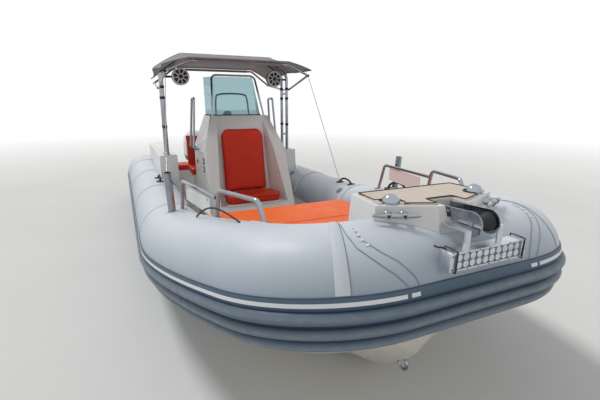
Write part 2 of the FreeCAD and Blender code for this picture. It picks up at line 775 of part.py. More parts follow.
def seat_lid():
    """The board that carries the front seat's cushion. It tips about its round front edge."""
    plan = symmetric([(LID_AFT_X, LID_HALF - 30), (LID_FRONT_X, LID_HALF)])
    board = plan_prism(plan, SEAT_DECK_Z, SEAT_DECK_Z + LID_THICK)
    nose_z = SEAT_DECK_Z + LID_THICK / 2
    nose = rod((LID_FRONT_X, -LID_HALF, nose_z), (LID_FRONT_X, LID_HALF, nose_z), LID_THICK / 2)
    return joined([board, nose])


def seat_cushion():
    """The front seat's cushion, on its lid."""
    low = SEAT_DECK_Z + LID_THICK + FIT
    plan = symmetric(
        [(LID_AFT_X, LID_HALF - 25), (LID_FRONT_X - 60, LID_HALF + 8), (LID_FRONT_X + 12, LID_HALF - 40)]
    )
    return plan_prism(plan, low, low + SEAT_CUSHION_THICK)


def back_cushion():
    """The front seat's backrest cushion, leaning on the recess."""
    slope = (RECESS_FOOT_X - BROW_X) / (SEAT_DECK_Z - BROW_Z - 5)
    low = SEAT_DECK_Z + LID_THICK + SEAT_CUSHION_THICK - 10
    low_x = BROW_X + (low - BROW_Z - 5) * slope + FIT
    high = BACK_CUSHION_TOP_Z
    high_x = BROW_X + (high - BROW_Z - 5) * slope + FIT
    thick = BACK_CUSHION_THICK
    side = side_prism(
        [(low_x, low), (low_x + thick, low), (high_x + thick, high), (high_x, high)],
        -RECESS_BACK_HALF,
        RECESS_BACK_HALF,
    )
    front = symmetric_front([(238, low), (238, high - 60), (190, high)])
    plan = front_prism(front, -CONSOLE_HALF, CONSOLE_HALF)
    return side.common(plan)


def windscreen():
    """A tinted screen of three flat panes, leaning aft from the brow."""
    low = BROW_Z + FIT
    return Part.makeLoft(
        [screen_wire(SCREEN_BOTTOM, low), screen_wire(SCREEN_TOP, SCREEN_TOP_Z)], True, True
    )


def screen_wire(corners, z):
    """The three-pane outline at one height, closed round its thickness."""
    (front_x, front_y), (aft_x, aft_y) = corners
    t = SCREEN_THICK
    outer = [(aft_x, aft_y), (front_x, front_y), (front_x, -front_y), (aft_x, -aft_y)]
    inner = [
        (aft_x, -aft_y + t),
        (front_x - t, -front_y + t / 2),
        (front_x - t, front_y - t / 2),
        (aft_x, aft_y - t),
    ]
    points = [V(x, y, z) for x, y in outer + inner]
    return Part.makePolygon(points + [points[0]])


def windscreen_frame():
    """The bent stainless tube over the windscreen, down each side to the console."""
    (foot_x, foot_y), _ = SCREEN_BOTTOM
    (top_x, top_y), _ = SCREEN_TOP
    out = SCREEN_TUBE_R + 4
    foot_z = BROW_Z - SCREEN_TUBE_R
    points = [
        (foot_x + 25, foot_y + 38, foot_z),
        (top_x + 20, top_y + out, SCREEN_TOP_Z + out),
        (top_x + 20, -top_y - out, SCREEN_TOP_Z + out),
        (foot_x + 25, -foot_y - 38, foot_z),
    ]
    brow = box(-999, 99, -999, 999, BROW_Z - 99, BROW_Z + FIT)
    return bent_tube(points, SCREEN_TUBE_R, 60).cut(brow)


def console_rails():
    """A hand rail beside each side of the console."""
    wall = CONSOLE_HALF + FIT
    out = CONSOLE_HALF + HAND_RAIL_OUT
    top_y = out - 40
    fore, aft = HAND_RAIL_X
    foot, top = HAND_RAIL_FOOT_Z, BROW_Z + HAND_RAIL_RISE
    points = [
        (fore, wall, foot),
        (fore, out, foot),
        (fore - 20, top_y, top),
        (aft + 40, top_y, top),
        (aft, out, foot),
        (aft, wall, foot),
    ]
    return both_sides(bent_tube(points, HAND_RAIL_R, 28))


def helm_axis():
    """The middle of the dash, and the direction the wheel's shaft leaves it."""
    run = V(HELM_TOP_X - CONSOLE_AFT_X, 0, BROW_Z - HELM_KNEE_Z)
    middle = V(CONSOLE_AFT_X, 0, HELM_KNEE_Z) + run * 0.45
    return middle, V(-run.z, 0, run.x).normalize()


def steering_wheel():
    """A three-spoked wheel on a short shaft."""
    middle, out = helm_axis()
    centre = middle + out * WHEEL_REACH
    rim = Part.makeTorus(WHEEL_R, WHEEL_RIM_R, centre, out)
    hub = Part.makeCylinder(WHEEL_HUB_R, 34, centre - out * 22, out)
    shaft = Part.makeCylinder(SHAFT_R, WHEEL_REACH - 20, centre - out * (WHEEL_REACH - 4), out)
    up = V(0, 1, 0).cross(out)
    spokes = []
    for turn in (90, 210, 330):
        angle = math.radians(turn)
        reach = V(0, 1, 0) * math.cos(angle) + up * math.sin(angle)
        spokes.append(Part.makeCylinder(8, WHEEL_R, centre, reach))
    return joined([rim, hub, shaft] + spokes)


def helm_controls():
    """The wheel's hub boss and the throttle box with its lever."""
    middle, out = helm_axis()
    boss = Part.makeCylinder(46, 15, middle + out * FIT, out)
    boss = boss.cut(Part.makeCylinder(SHAFT_R + PIN_PLAY, 40, middle - out * 5, out))
    box_at = middle + V(0, -260, 0)
    body = Part.makeCylinder(38, 70, box_at + out * FIT, out)
    lever = rod(tuple(box_at + out * 55), tuple(box_at + out * 70 + V(30, 0, 150)), 9)
    return Part.makeCompound([boss, joined([body, lever])])


def helm_board(gap, thick, low, high):
    """The helm seat's leaning backrest board, or a cushion in front of it."""
    foot = HELM_SEAT_X - 190 + gap
    lean = HELM_LEAN * (high - low)
    shift = HELM_LEAN * (low - HELM_SEAT_Z)
    foot -= shift
    return [(foot, low), (foot + thick, low), (foot + thick - lean, high), (foot - lean, high)]


def helm_seat_base():
    """The moulded box under the helm seat, with its backrest board."""
    x = HELM_SEAT_X
    half = HELM_SEAT_HALF - 40
    top = HELM_SEAT_Z - HELM_CUSHION
    base = side_prism([(x - 170, SOLE_Z), (x + 150, SOLE_Z), (x + 190, top), (x - 200, top)], -half, half)
    hollow = box(x - 150, x + 120, -half + WALL, half - WALL, SOLE_Z, top - WALL)
    board = side_prism(helm_board(0, 25, top - 1, HELM_BACK_Z - 25), -half, half)
    return joined([base, board]).cut(hollow)


def helm_cushions():
    """The helm seat's cushion and backrest."""
    x = HELM_SEAT_X
    half = HELM_SEAT_HALF
    low = HELM_SEAT_Z - HELM_CUSHION + FIT
    gap = 25 + FIT
    seat = box(x - 190 + gap + HELM_LEAN * HELM_CUSHION + 2, x + 210, -half, half, low, HELM_SEAT_Z)
    back = side_prism(helm_board(gap, 75, HELM_SEAT_Z + FIT, HELM_BACK_Z), -half, half)
    return Part.makeCompound([seat, back])


def coaming(seat):
    """A raised moulding on the port tube, from amidships to the stern."""
    outline = [
        (COAMING_FRONT_X, LINER_TOP_Z),
        (COAMING_FRONT_X - 40, COAMING_TOP_Z),
        (COAMING_AFT_X + 40, COAMING_TOP_Z),
        (COAMING_AFT_X, LINER_TOP_Z),
    ]
    block = side_prism(outline, COAMING_IN_Y, COAMING_OUT_Y)
    trim = front_prism(
        [
            (COAMING_IN_Y, LINER_TOP_Z),
            (COAMING_OUT_Y + 60, LINER_TOP_Z),
            (COAMING_OUT_Y, COAMING_TOP_Z),
            (COAMING_IN_Y + 15, COAMING_TOP_Z),
        ],
        COAMING_AFT_X,
        COAMING_FRONT_X,
    )
    return largest(block.common(trim).cut(seat))


def arch():
    """Two stainless hoops side by side, tied by short bars, standing on the coamings."""
    pieces = []
    foot_z = COAMING_TOP_Z
    for x in ARCH_X:
        points = [
            (x, ARCH_Y, foot_z),
            (x, ARCH_Y, ARCH_BEND_Z),
            (x, ARCH_TOP_HALF, ARCH_TOP_Z),
            (x, -ARCH_TOP_HALF, ARCH_TOP_Z),
            (x, -ARCH_Y, ARCH_BEND_Z),
            (x, -ARCH_Y, foot_z),
        ]
        pieces.append(bent_tube(points, ARCH_R, ARCH_BEND_R))
        for side in (1, -1):
            pieces.append(Part.makeCylinder(ARCH_R + 22, 8, V(x, side * ARCH_Y, foot_z)))
    for z in ARCH_TIE_Z:
        for side in (1, -1):
            pieces.append(rod((ARCH_X[0], side * ARCH_Y, z), (ARCH_X[1], side * ARCH_Y, z), HOOP_R))
    for y in (-380, 0, 380):
        pieces.append(rod((ARCH_X[0], y, ARCH_TOP_Z), (ARCH_X[1], y, ARCH_TOP_Z), HOOP_R))
    return joined(pieces)


def canopy_line(x, top_z, top_half, edge_z, edge_half, drop):
    """The cloth's cross-section at one hoop: flat on top, rounded down to each edge."""
    mid_y = (top_half + edge_half) / 2
    mid_z = edge_z + (top_z - edge_z) * 0.58
    port = [V(x, edge_half, edge_z - drop), V(x, mid_y, mid_z - drop), V(x, top_half, top_z - drop)]
    starboard = [V(x, -p.y, p.z) for p in reversed(port)]
    return port, starboard


def canopy():
    """The cloth top, a thin curved sheet over its hoops."""
    wires = []
    for hoop in CANOPY_HOOPS:
        port, starboard = canopy_line(*hoop, 0)
        low_port, low_starboard = canopy_line(*hoop, CANOPY_THICK)
        edges = [
            Part.Arc(*port).toShape(),
            Part.LineSegment(port[2], starboard[0]).toShape(),
            Part.Arc(*starboard).toShape(),
            Part.LineSegment(starboard[2], low_starboard[2]).toShape(),
            Part.Arc(*reversed(low_starboard)).toShape(),
            Part.LineSegment(low_starboard[0], low_port[2]).toShape(),
            Part.Arc(*reversed(low_port)).toShape(),
            Part.LineSegment(low_port[0], port[0]).toShape(),
        ]
        wires.append(Part.Wire(edges))
    return Part.makeLoft(wires, True, True)


def hoop_corner(hoop, side):
    """Where a light hoop's lower end sits, inside the cloth's edge."""
    x, _, _, edge_z, edge_half = hoop
    inward = -25 if x > ARCH_X[0] else 25
    return (x + inward, side * (edge_half - 30), edge_z - 60)


def canopy_hoops():
    """The light hoops under the cloth's ends, each on two struts from the arch."""
    pieces = []
    drop = CANOPY_THICK + CANOPY_GAP + HOOP_R + 8
    for hoop, arch_x in ((CANOPY_HOOPS[0], ARCH_X[0]), (CANOPY_HOOPS[-1], ARCH_X[1])):
        port, starboard = hoop_corner(hoop, 1), hoop_corner(hoop, -1)
        x, top_z, top_half = port[0], hoop[1], hoop[2]
        route = [port, (x, top_half, top_z - drop), (x, -top_half, top_z - drop), starboard]
        parts = [bent_tube(route, HOOP_R, 60)]
        for side in (1, -1):
            foot = (arch_x, side * (ARCH_Y + ARCH_R + HOOP_R + FIT), 1690)
            parts.append(rod(foot, hoop_corner(hoop, side), HOOP_R))
        pieces.append(joined(parts))
    return Part.makeCompound(pieces)


def speaker():
    """A round loudspeaker pod under the port bend of the arch, on a short bracket."""
    x, y, z = SPEAKER_AT
    rim = V(x - SPEAKER_DEPTH / 2, y, z)
    pod = Part.makeCylinder(SPEAKER_R, SPEAKER_DEPTH / 2, rim, V(1, 0, 0))
    back = Part.makeCone(SPEAKER_R, SPEAKER_R * 0.6, SPEAKER_DEPTH * 0.3, rim, V(-1, 0, 0))
    arm = rod((ARCH_X[0], y, z), (ARCH_X[0], ARCH_Y - ARCH_R - FIT, z), 12)
    return joined([pod, back, arm])


def stays(seat, tube_top):
    """A thin stay each side from the cloth top's front corner."""
    x, y, z = hoop_corner(CANOPY_HOOPS[0], 1)
    top = (x + HOOP_R, y, z - HOOP_R - 2)
    port = seated(rod(top, (*STAY_FOOT, tube_top - STAY_R), STAY_R), seat)
    rim_x = ROD_HOLDER_TOP[0] - ROD_HOLDER_R + 1
    rim = (rim_x, -ROD_HOLDER_TOP[1], ROD_HOLDER_TOP[2] + STAY_R)
    starboard = rod((top[0], -top[1], top[2]), rim, STAY_R)
    return Part.makeCompound([port, starboard])


def stern_bench():
    """A moulded bench across the stern."""
    half = COAMING_IN_Y - FIT
    block = box(BENCH_X[0], BENCH_X[1], -half, half, SOLE_Z, BENCH_Z)
    half -= WALL
    hollow = box(BENCH_X[0] + WALL, BENCH_X[1] - WALL, -half, half, SOLE_Z, BENCH_Z - WALL)
    return block.cut(hollow)


def stern_cushion():
    """The stern bench's cushion."""
    half = COAMING_IN_Y - BENCH_CUSHION_GAP
    return box(BENCH_X[0] + 20, BENCH_X[1] + 10, -half, half, BENCH_Z + FIT, BENCH_Z + BENCH_CUSHION)


def engine_bracket():
    """The clamp bracket on the transom: two side plates that hold the tilt tube."""
    aft = TRANSOM_X - FIT
    profile = [
        (aft, 90),
        (aft, TILT_Z + 20),
        (TILT_X, TILT_Z + 34),
        (TILT_X - 34, TILT_Z),
        (TILT_X, TILT_Z - 60),
        (aft - 40, 90),
    ]
    plate = side_prism(profile, 112, 128)
    web = box(aft - 22, aft, -128, 128, *BRACKET_WEB_Z)
    tube = rod((TILT_X, -150, TILT_Z), (TILT_X, 150, TILT_Z), TILT_R)
    return joined([plate, mirrored(plate), web, tube])


def engine_swivel():
    """The swivel bracket: a bored lug on the tilt tube and a bored steering column."""
    lug = rod((TILT_X, -104, TILT_Z), (TILT_X, 104, TILT_Z), 34)
    column = Part.makeCylinder(SWIVEL_R, COLUMN_LENGTH, V(SWIVEL_X, 0, COLUMN_Z))
    bridge = box(SWIVEL_X, TILT_X, -34, 34, 250, TILT_Z)
    bore = rod((TILT_X, -110, TILT_Z), (TILT_X, 110, TILT_Z), TILT_R + PIN_PLAY)
    hole = Part.makeCylinder(STEER_PIN_R + PIN_PLAY, COLUMN_LENGTH + 60, V(SWIVEL_X, 0, COLUMN_Z - 30))
    return joined([lug, column, bridge]).cut(bore).cut(hole)


def engine_leg():
    """The engine's midsection and gearcase, with the pin it steers on."""
    low_z = COLUMN_Z - YOKE_GAP - YOKE_THICK
    high_z = COLUMN_Z + COLUMN_LENGTH + YOKE_GAP
    yokes = [box(LEG_FRONT_X - 10, SWIVEL_X + 34, -34, 34, z, z + YOKE_THICK) for z in (low_z, high_z)]
    pin = Part.makeCylinder(STEER_PIN_R, high_z - low_z + YOKE_THICK, V(SWIVEL_X, 0, low_z))
    sections = []
    for z, fore, aft, half in (
        (COWL_BASE_Z, LEG_FRONT_X, LEG_AFT_X - 30, 90),
        (80, LEG_FRONT_X, LEG_AFT_X, 70),
        (-260, LEG_FRONT_X, LEG_AFT_X + 10, 34),
        (PROP_Z, LEG_FRONT_X + 10, LEG_AFT_X + 30, 26),
    ):
        mid = (fore + aft) / 2
        outline = [V(fore, 0, z), V(mid, half, z), V(aft, 0, z), V(mid, -half, z)]
        front = Part.Arc(V(mid, -half, z), V(fore, 0, z), V(mid, half, z)).toShape()
        back = [Part.LineSegment(*outline[i : i + 2]).toShape() for i in (1, 2)]
        sections.append(Part.Wire([front] + back))
    leg = Part.makeLoft(sections, True, True)
    nose_x = LEG_FRONT_X + 60
    start = V(PROP_X + HUB_GAP, 0, PROP_Z)
    torpedo = Part.makeCylinder(TORPEDO_R, nose_x - start.x, start, V(1, 0, 0))
    nose = Part.makeCone(TORPEDO_R, 8, 90, V(nose_x, 0, PROP_Z), V(1, 0, 0))
    skeg = side_prism(
        [
            (LEG_FRONT_X, PROP_Z),
            (LEG_AFT_X + 40, PROP_Z),
            (LEG_AFT_X + 20, PROP_Z - SKEG_DEPTH),
            (LEG_FRONT_X - 90, PROP_Z - SKEG_DEPTH + 10),
        ],
        -SKEG_THICK / 2,
        SKEG_THICK / 2,
    )
    plate_z = PROP_Z + PROP_R + PLATE_OVER_PROP
    plate_plan = symmetric([(LEG_AFT_X - 140, 120), (LEG_FRONT_X + 40, 60)])
    plate = plan_prism(plate_plan, plate_z, plate_z + PLATE_THICK)
    shaft = rod(tuple(start), (PROP_X - PROP_LENGTH - 12, 0, PROP_Z), PROP_SHAFT_R)
    return joined([leg, torpedo, nose, skeg, plate, shaft, pin] + yokes)


def engine_cowl():
    """The engine's cover, a tapered shell over the powerhead."""
    wires = []
    for z, fore, aft, half in COWL_TABLE:
        cut = half * 0.55
        plan = symmetric([(fore, cut), (fore - 90, half), (aft + 130, half), (aft, cut)])
        points = [V(x, y, z) for x, y in plan]
        wires.append(Part.makePolygon(points + [points[0]]))
    return Part.makeLoft(wires, True, True)


def blade_section(radius, chord, pitch_deg, thick):
    """A diamond section of a blade, turned to its pitch."""
    angle = math.radians(pitch_deg)
    along = V(math.sin(angle), math.cos(angle), 0) * (chord / 2)
    across = V(math.cos(angle), -math.sin(angle), 0) * (thick / 2)
    middle = V(0, 0, radius)
    points = [middle + along, middle + across, middle - along, middle - across]
    return Part.makePolygon(points + [points[0]])


def propeller():
    """A three-bladed propeller with twisted blades, bored for its shaft."""
    hub = Part.makeCylinder(PROP_HUB_R, PROP_LENGTH, V(PROP_X - PROP_LENGTH, 0, PROP_Z), V(1, 0, 0))
    mid_x = PROP_X - PROP_LENGTH / 2
    blade = Part.makeLoft([blade_section(*row) for row in BLADE_TABLE], True, True)
    blades = []
    for turn in (0, 120, 240):
        placed = blade.rotated(V(0, 0, 0), V(1, 0, 0), turn)
        blades.append(placed.translated(V(mid_x, 0, PROP_Z)))
    bore = rod((PROP_X + 1, 0, PROP_Z), (PROP_X - PROP_LENGTH - 1, 0, PROP_Z), PROP_SHAFT_R + PIN_PLAY)
    return joined([hub] + blades).cut(bore)


def write(name, shape):
    """One sub-part as one STEP file."""
    os.makedirs("parts", exist_ok=True)
    shape.exportStep(f"parts/{name}.step")
    state = "" if shape.isValid() else " NOT VALID"
    print(f"{name}: {len(shape.Solids)} solids, {shape.Volume / 1e6:.2f} litres{state}")


def main():
    seat = swept_round_collar(tube_section(TUBE_R + FIT))
    collar = tube_collar()
    bottom = hull(seat)
    write("tube_collar", collar)
    write("rub_strake", rub_strake())
    write("hull", bottom)
    write("deck", deck(seat))
    write("transom", transom(seat))
    write("bow_locker", bow_locker(seat))
    write("sun_pad", sun_pad())
    fairing = bow_fairing(seat)
    write("bow_fairing", fairing)
    write("fairing_pad", fairing_pad())
    write("roller_cheeks", roller_cheeks())
    write("anchor_roller", anchor_roller())
    write("bow_lamps", both_sides(bow_lamp()))
    write("bow_cleats", both_sides(bow_cleat(fairing)))
    write("light_bar", light_bar(fairing))
    write("bow_eye", bow_eye(bottom))
    write("bow_rails", both_sides(rails(BOW_RAIL, seat, collar)))
    write("side_rails", both_sides(rails(SIDE_RAIL, seat, collar)))
    write("name_boards", name_boards())
    write("rod_holders", both_sides(rod_holder(seat, collar)))
    write("console", console())
    write("console_door", console_door())
    write("door_hinges", door_hinges())
    write("seat_lid", seat_lid())
    write("seat_cushion", seat_cushion())
    write("back_cushion", back_cushion())
    write("windscreen", windscreen())
    write("windscreen_frame", windscreen_frame())
    write("console_rails", console_rails())
    write("steering_wheel", steering_wheel())
    write("helm_controls", helm_controls())
    write("helm_seat_base", helm_seat_base())
    write("helm_cushions", helm_cushions())
    write("coamings", both_sides(coaming(seat)))
    write("arch", arch())
    write("canopy", canopy())
    write("canopy_hoops", canopy_hoops())
    write("speakers", both_sides(speaker()))
    write("stays", stays(seat, top_of(collar, *STAY_FOOT)))
    write("stern_bench", stern_bench())
    write("stern_cushion", stern_cushion())
    write("engine_bracket", engine_bracket())
    write("engine_swivel", engine_swivel())
    write("engine_leg", engine_leg())
    write("engine_cowl", engine_cowl())
    write("propeller", propeller())


main()
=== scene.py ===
"""The look of the rigid inflatable boat: materials, soft goods, small fittings, floor, light and camera."""

import math

import bmesh
import bpy
from mathutils import Matrix, Vector, noise
from mathutils.bvhtree import BVHTree
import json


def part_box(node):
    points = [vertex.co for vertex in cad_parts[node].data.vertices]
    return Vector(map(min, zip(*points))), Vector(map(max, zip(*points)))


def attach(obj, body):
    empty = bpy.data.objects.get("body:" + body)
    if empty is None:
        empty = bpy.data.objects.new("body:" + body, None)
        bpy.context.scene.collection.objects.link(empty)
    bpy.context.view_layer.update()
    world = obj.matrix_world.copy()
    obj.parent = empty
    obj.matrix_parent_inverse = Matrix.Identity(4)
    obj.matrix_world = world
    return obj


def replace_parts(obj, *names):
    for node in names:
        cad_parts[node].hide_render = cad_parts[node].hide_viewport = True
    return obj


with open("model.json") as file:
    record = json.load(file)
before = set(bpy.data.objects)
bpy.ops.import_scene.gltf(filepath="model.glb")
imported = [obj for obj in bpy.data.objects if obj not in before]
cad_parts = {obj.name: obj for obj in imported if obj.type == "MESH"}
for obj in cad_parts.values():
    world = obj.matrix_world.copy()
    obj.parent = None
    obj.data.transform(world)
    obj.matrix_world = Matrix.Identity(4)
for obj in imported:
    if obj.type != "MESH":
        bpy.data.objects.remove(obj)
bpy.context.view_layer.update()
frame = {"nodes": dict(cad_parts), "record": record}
NODES = frame["nodes"]
RECORD = frame["record"]
BODY_OF = {node: body for body, nodes in RECORD["behaviour"]["bodies"].items() for node in nodes}
SLOT_OF = {part["node"]: part["material_slot"] for part in RECORD["subparts"]}
scene = bpy.context.scene
collection = scene.collection
rad = math.radians

# The collar's line, in metres, as the model has it
TUBE_R = 0.262
TUBE_Y = 0.928
TUBE_Z = 0.415
TUBE_AFT_X = -2.75
KNEE_X = 0.3
KNEE_R = 6.2
SHEER = rad(10.3)
FLARE_R = 3.7
FLARE = rad(20.3)
CORNER_R = 0.41
CONE_LENGTH = 0.33
CONE_TIP_R = 0.095


# Materials


def tuned(target, **values):
    """Sets the target's properties and gives it back."""
    for key, value in values.items():
        setattr(target, key, value)
    return target


class Nodes:
    """A short way to write a material's node tree."""

    def __init__(self, name):
        self.material = bpy.data.materials.new(name)
        self.material.use_nodes = True
        self.tree = self.material.node_tree
        self.shader = self.tree.nodes["Principled BSDF"]
        self.place = None

    def add(self, kind, **values):
        return tuned(self.tree.nodes.new(kind), **values)

    def link(self, a, b):
        self.tree.links.new(a, b)

    def value(self, socket, value):
        if hasattr(value, "is_output"):
            self.link(value, socket)
        else:
            socket.default_value = value

    def fill(self, node, **values):
        """Sets or links a node's sockets by their names."""
        for key, value in values.items():
            self.value(node.inputs[key.replace("_", " ")], value)

    def set(self, **values):
        self.fill(self.shader, **values)

    def at(self):
        if self.place is None:
            self.place = self.add("ShaderNodeTexCoord").outputs["Object"]
        return self.place

    def scaled(self, scale):
        node = self.add("ShaderNodeMapping")
        self.fill(node, Vector=self.at(), Scale=scale)
        return node.outputs["Vector"]

    def noise(self, scale, detail=4.0, rough=0.55, stretch=None):
        node = self.add("ShaderNodeTexNoise")
        place = self.scaled(stretch) if stretch else self.at()
        self.fill(node, Vector=place, Scale=scale, Detail=detail, Roughness=rough)
        return node.outputs["Fac"]

    def waves(self, scale, direction):
        node = self.add("ShaderNodeTexWave", bands_direction=direction)
        self.fill(node, Vector=self.at(), Scale=scale)
        return node.outputs["Fac"]

    def attribute(self, name):
        return self.add("ShaderNodeAttribute", attribute_name=name).outputs["Fac"]

    def ramp(self, value, low, high, to_low=0.0, to_high=1.0):
        node = self.add("ShaderNodeMapRange")
        self.fill(node, Value=value, From_Min=low, From_Max=high, To_Min=to_low, To_Max=to_high)
        return node.outputs["Result"]

    def math(self, operation, a, b):
        node = self.add("ShaderNodeMath", operation=operation)
        self.value(node.inputs[0], a)
        self.value(node.inputs[1], b)
        return node.outputs["Value"]

    def mix(self, factor, a, b):
        node = self.add("ShaderNodeMix", data_type="RGBA")
        self.fill(node, Factor=factor, A=a, B=b)
        return node.outputs["Result"]

    def bump(self, height, strength, distance=0.001):
        node = self.add("ShaderNodeBump")
        self.fill(node, Strength=strength, Distance=distance, Height=height)
        self.set(Normal=node.outputs["Normal"])

    def uneven(self, scale, low, high):
        """Roughness that varies in soft patches."""
        self.set(Roughness=self.ramp(self.noise(scale), 0.3, 0.7, low, high))

    def woven(self, grain, thread, folds, crease, strength):
        """A fine weave and soft folds, as one bump."""
        threads = self.math("MULTIPLY", self.noise(grain, 1.0), thread)
        creases = self.math("MULTIPLY", folds, crease)
        self.bump(self.math("ADD", threads, creases), strength, 0.003)


def rgb(code):
    """A screen colour such as c8d0d8 as linear values."""
    parts = [int(code[i : i + 2], 16) / 255 for i in (0, 2, 4)]
    return [c / 12.92 if c <= 0.04045 else ((c + 0.055) / 1.055) ** 2.4 for c in parts] + [1.0]


def brighter(code, factor, lift=0.0):
    """A screen colour made lighter or darker, as linear values."""
    return [min(1.0, c * factor + lift) for c in rgb(code)[:3]] + [1.0]


def coated_cloth(name, code, dark, grain=900.0, rough=0.5, wrinkle=0.35, sheen=0.12):
    """Coated fabric: a fine weave, soft wrinkles and slight staining."""
    n = Nodes(name)
    stain = n.ramp(n.noise(2.2, 5.0), 0.35, 0.75)
    n.set(Base_Color=n.mix(stain, rgb(code), rgb(dark)))
    n.uneven(9.0, rough - 0.08, rough + 0.1)
    n.set(Sheen_Weight=sheen, Sheen_Roughness=0.5, Specular_IOR_Level=0.35)
    n.woven(grain, 0.25, n.noise(7.0, 3.0, 0.6, (1.0, 1.0, 2.2)), 3.0 * wrinkle, 0.5)
    return n.material


def tube_cloth():
    """The collar's coated fabric, with painted shade making it bluer and darker towards the strake."""
    n = Nodes("tube_cloth")
    stain = n.ramp(n.noise(3.0, 6.0, 0.65), 0.4, 0.8)
    clean = n.mix(n.math("MULTIPLY", stain, 0.5), rgb("d6dee6"), rgb("c3ced8"))
    scuffs = n.ramp(n.noise(30.0, 6.0, 0.7, (1.0, 1.0, 3.0)), 0.62, 0.8, 0.0, 0.3)
    # Painted shade: the fabric darkens to blue-grey 8799ab down the tube's lower side, by height.
    low = n.math("MULTIPLY", n.ramp(n.attribute("height"), 0.48, 0.95, 1.0, 0.0), 0.9)
    n.set(Base_Color=n.mix(low, n.mix(scuffs, clean, rgb("aab6c1")), rgb("8799ab")))
    n.uneven(6.0, 0.36, 0.5)
    n.set(Sheen_Weight=0.1, Sheen_Roughness=0.5, Coat_Weight=0.15, Coat_Roughness=0.35)
    n.woven(900.0, 0.2, n.noise(5.0, 3.0, 0.6, (1.0, 1.0, 0.4)), 1.2, 0.45)
    return n.material


def strake_rubber():
    """Moulded rubber with chalky grey crests; the grooves and the ribs' lower halves are painted dark blue
    as shade, and the crests' upper halves painted lit.
    """
    n = Nodes("strake_rubber")
    # This attribute paints light and shade: 0 is dark painted shade, 0.4 the band's own colour, 1 a lit
    # crest.
    painted_light = n.attribute("painted_light")
    chalk = n.ramp(n.noise(18.0, 6.0, 0.7, (1.0, 1.0, 3.0)), 0.35, 0.75)
    crest = n.mix(chalk, rgb("6f7a84"), rgb("87919a"))
    # Painted shade: from dark groove blue up to the band's own colour.
    face = n.mix(n.ramp(painted_light, 0.0, 0.4), rgb("1b3249"), rgb("4f6579"))
    n.set(Base_Color=n.mix(n.ramp(painted_light, 0.4, 1.0), face, crest))
    n.uneven(25.0, 0.42, 0.6)
    n.bump(n.noise(400.0, 2.0), 0.12)
    return n.material


def gelcoat(name, code, dirty, grime_amount):
    """Glossy moulded gelcoat with a faint orange peel and some grime."""
    n = Nodes(name)
    grime = n.ramp(n.noise(5.0, 8.0, 0.7), 0.52, 0.85)
    streaks = n.ramp(n.noise(9.0, 5.0, 0.6, (3.0, 3.0, 0.4)), 0.58, 0.85)
    dirt = n.math("MULTIPLY", n.math("MAXIMUM", grime, streaks), grime_amount)
    n.set(Base_Color=n.mix(dirt, rgb(code), rgb(dirty)))
    n.uneven(3.0, 0.24, 0.32)
    n.set(Coat_Weight=0.3, Coat_Roughness=0.12)
    n.bump(n.noise(90.0, 2.0), 0.03)
    return n.material


def metal(name, code, rough):
    """Polished metal with fine scuffs and water marks."""
    n = Nodes(name)
    marks = n.ramp(n.noise(22.0, 6.0, 0.7), 0.45, 0.8)
    n.set(Base_Color=n.mix(marks, rgb(code), brighter(code, 0.72)), Metallic=1.0)
    n.set(Roughness=n.ramp(n.noise(40.0, 6.0, 0.7), 0.35, 0.8, rough - 0.05, rough + 0.16))
    n.bump(n.noise(300.0, 2.0), 0.04)
    return n.material


def plastic(name, code, rough=0.45, lift=1.6):
    """Moulded plastic or rubber with a fine grain, paler by lift where it is worn."""
    n = Nodes(name)
    worn = n.ramp(n.noise(12.0, 5.0), 0.5, 0.8, 0.0, 0.25)
    n.set(Base_Color=n.mix(worn, rgb(code), brighter(code, lift, 0.02)))
    n.uneven(20.0, rough - 0.08, rough + 0.12)
    n.bump(n.noise(350.0, 2.0), 0.15)
    return n.material


def teak_pad():
    """Foam deck pad in a pale teak colour, with its grain along the boat."""
    n = Nodes("tread_pad")
    grain = n.noise(60.0, 4.0, 0.6, (0.12, 1.0, 1.0))
    n.set(Base_Color=n.mix(n.ramp(grain, 0.3, 0.7), rgb("e2d6ca"), rgb("d2c4b4")), Roughness=0.75)
    n.bump(n.math("ADD", grain, n.noise(700.0, 2.0)), 0.3)
    return n.material


def non_skid():
    """Moulded non-skid: small raised diamonds in gelcoat."""
    n = Nodes("non_skid")
    grime = n.math("MULTIPLY", n.ramp(n.noise(4.0, 8.0, 0.7), 0.45, 0.8), 0.6)
    n.set(Base_Color=n.mix(grime, rgb("dfe0dd"), rgb("b9b7ae")), Roughness=0.5)
    n.bump(n.math("MULTIPLY", n.waves(28.0, "X"), n.waves(28.0, "Y")), 0.5, 0.002)
    return n.material


def glass():
    """Tinted acrylic, faintly scratched."""
    n = Nodes("screen_tint")
    n.set(Base_Color=rgb("a6c6cc"), IOR=1.2, Transmission_Weight=0.9)
    n.set(Roughness=n.ramp(n.noise(6.0, 6.0), 0.4, 0.9, 0.02, 0.14))
    return n.material


def lens():
    """Clear lens over a bright reflector."""
    n = Nodes("lamp_lens")
    n.set(Base_Color=n.mix(n.ramp(n.noise(50.0), 0.4, 0.7), rgb("dfe7ef"), rgb("b9c6d2")))
    n.set(Roughness=0.12, Metallic=0.35, Coat_Weight=0.8, Coat_Roughness=0.05)
    return n.material


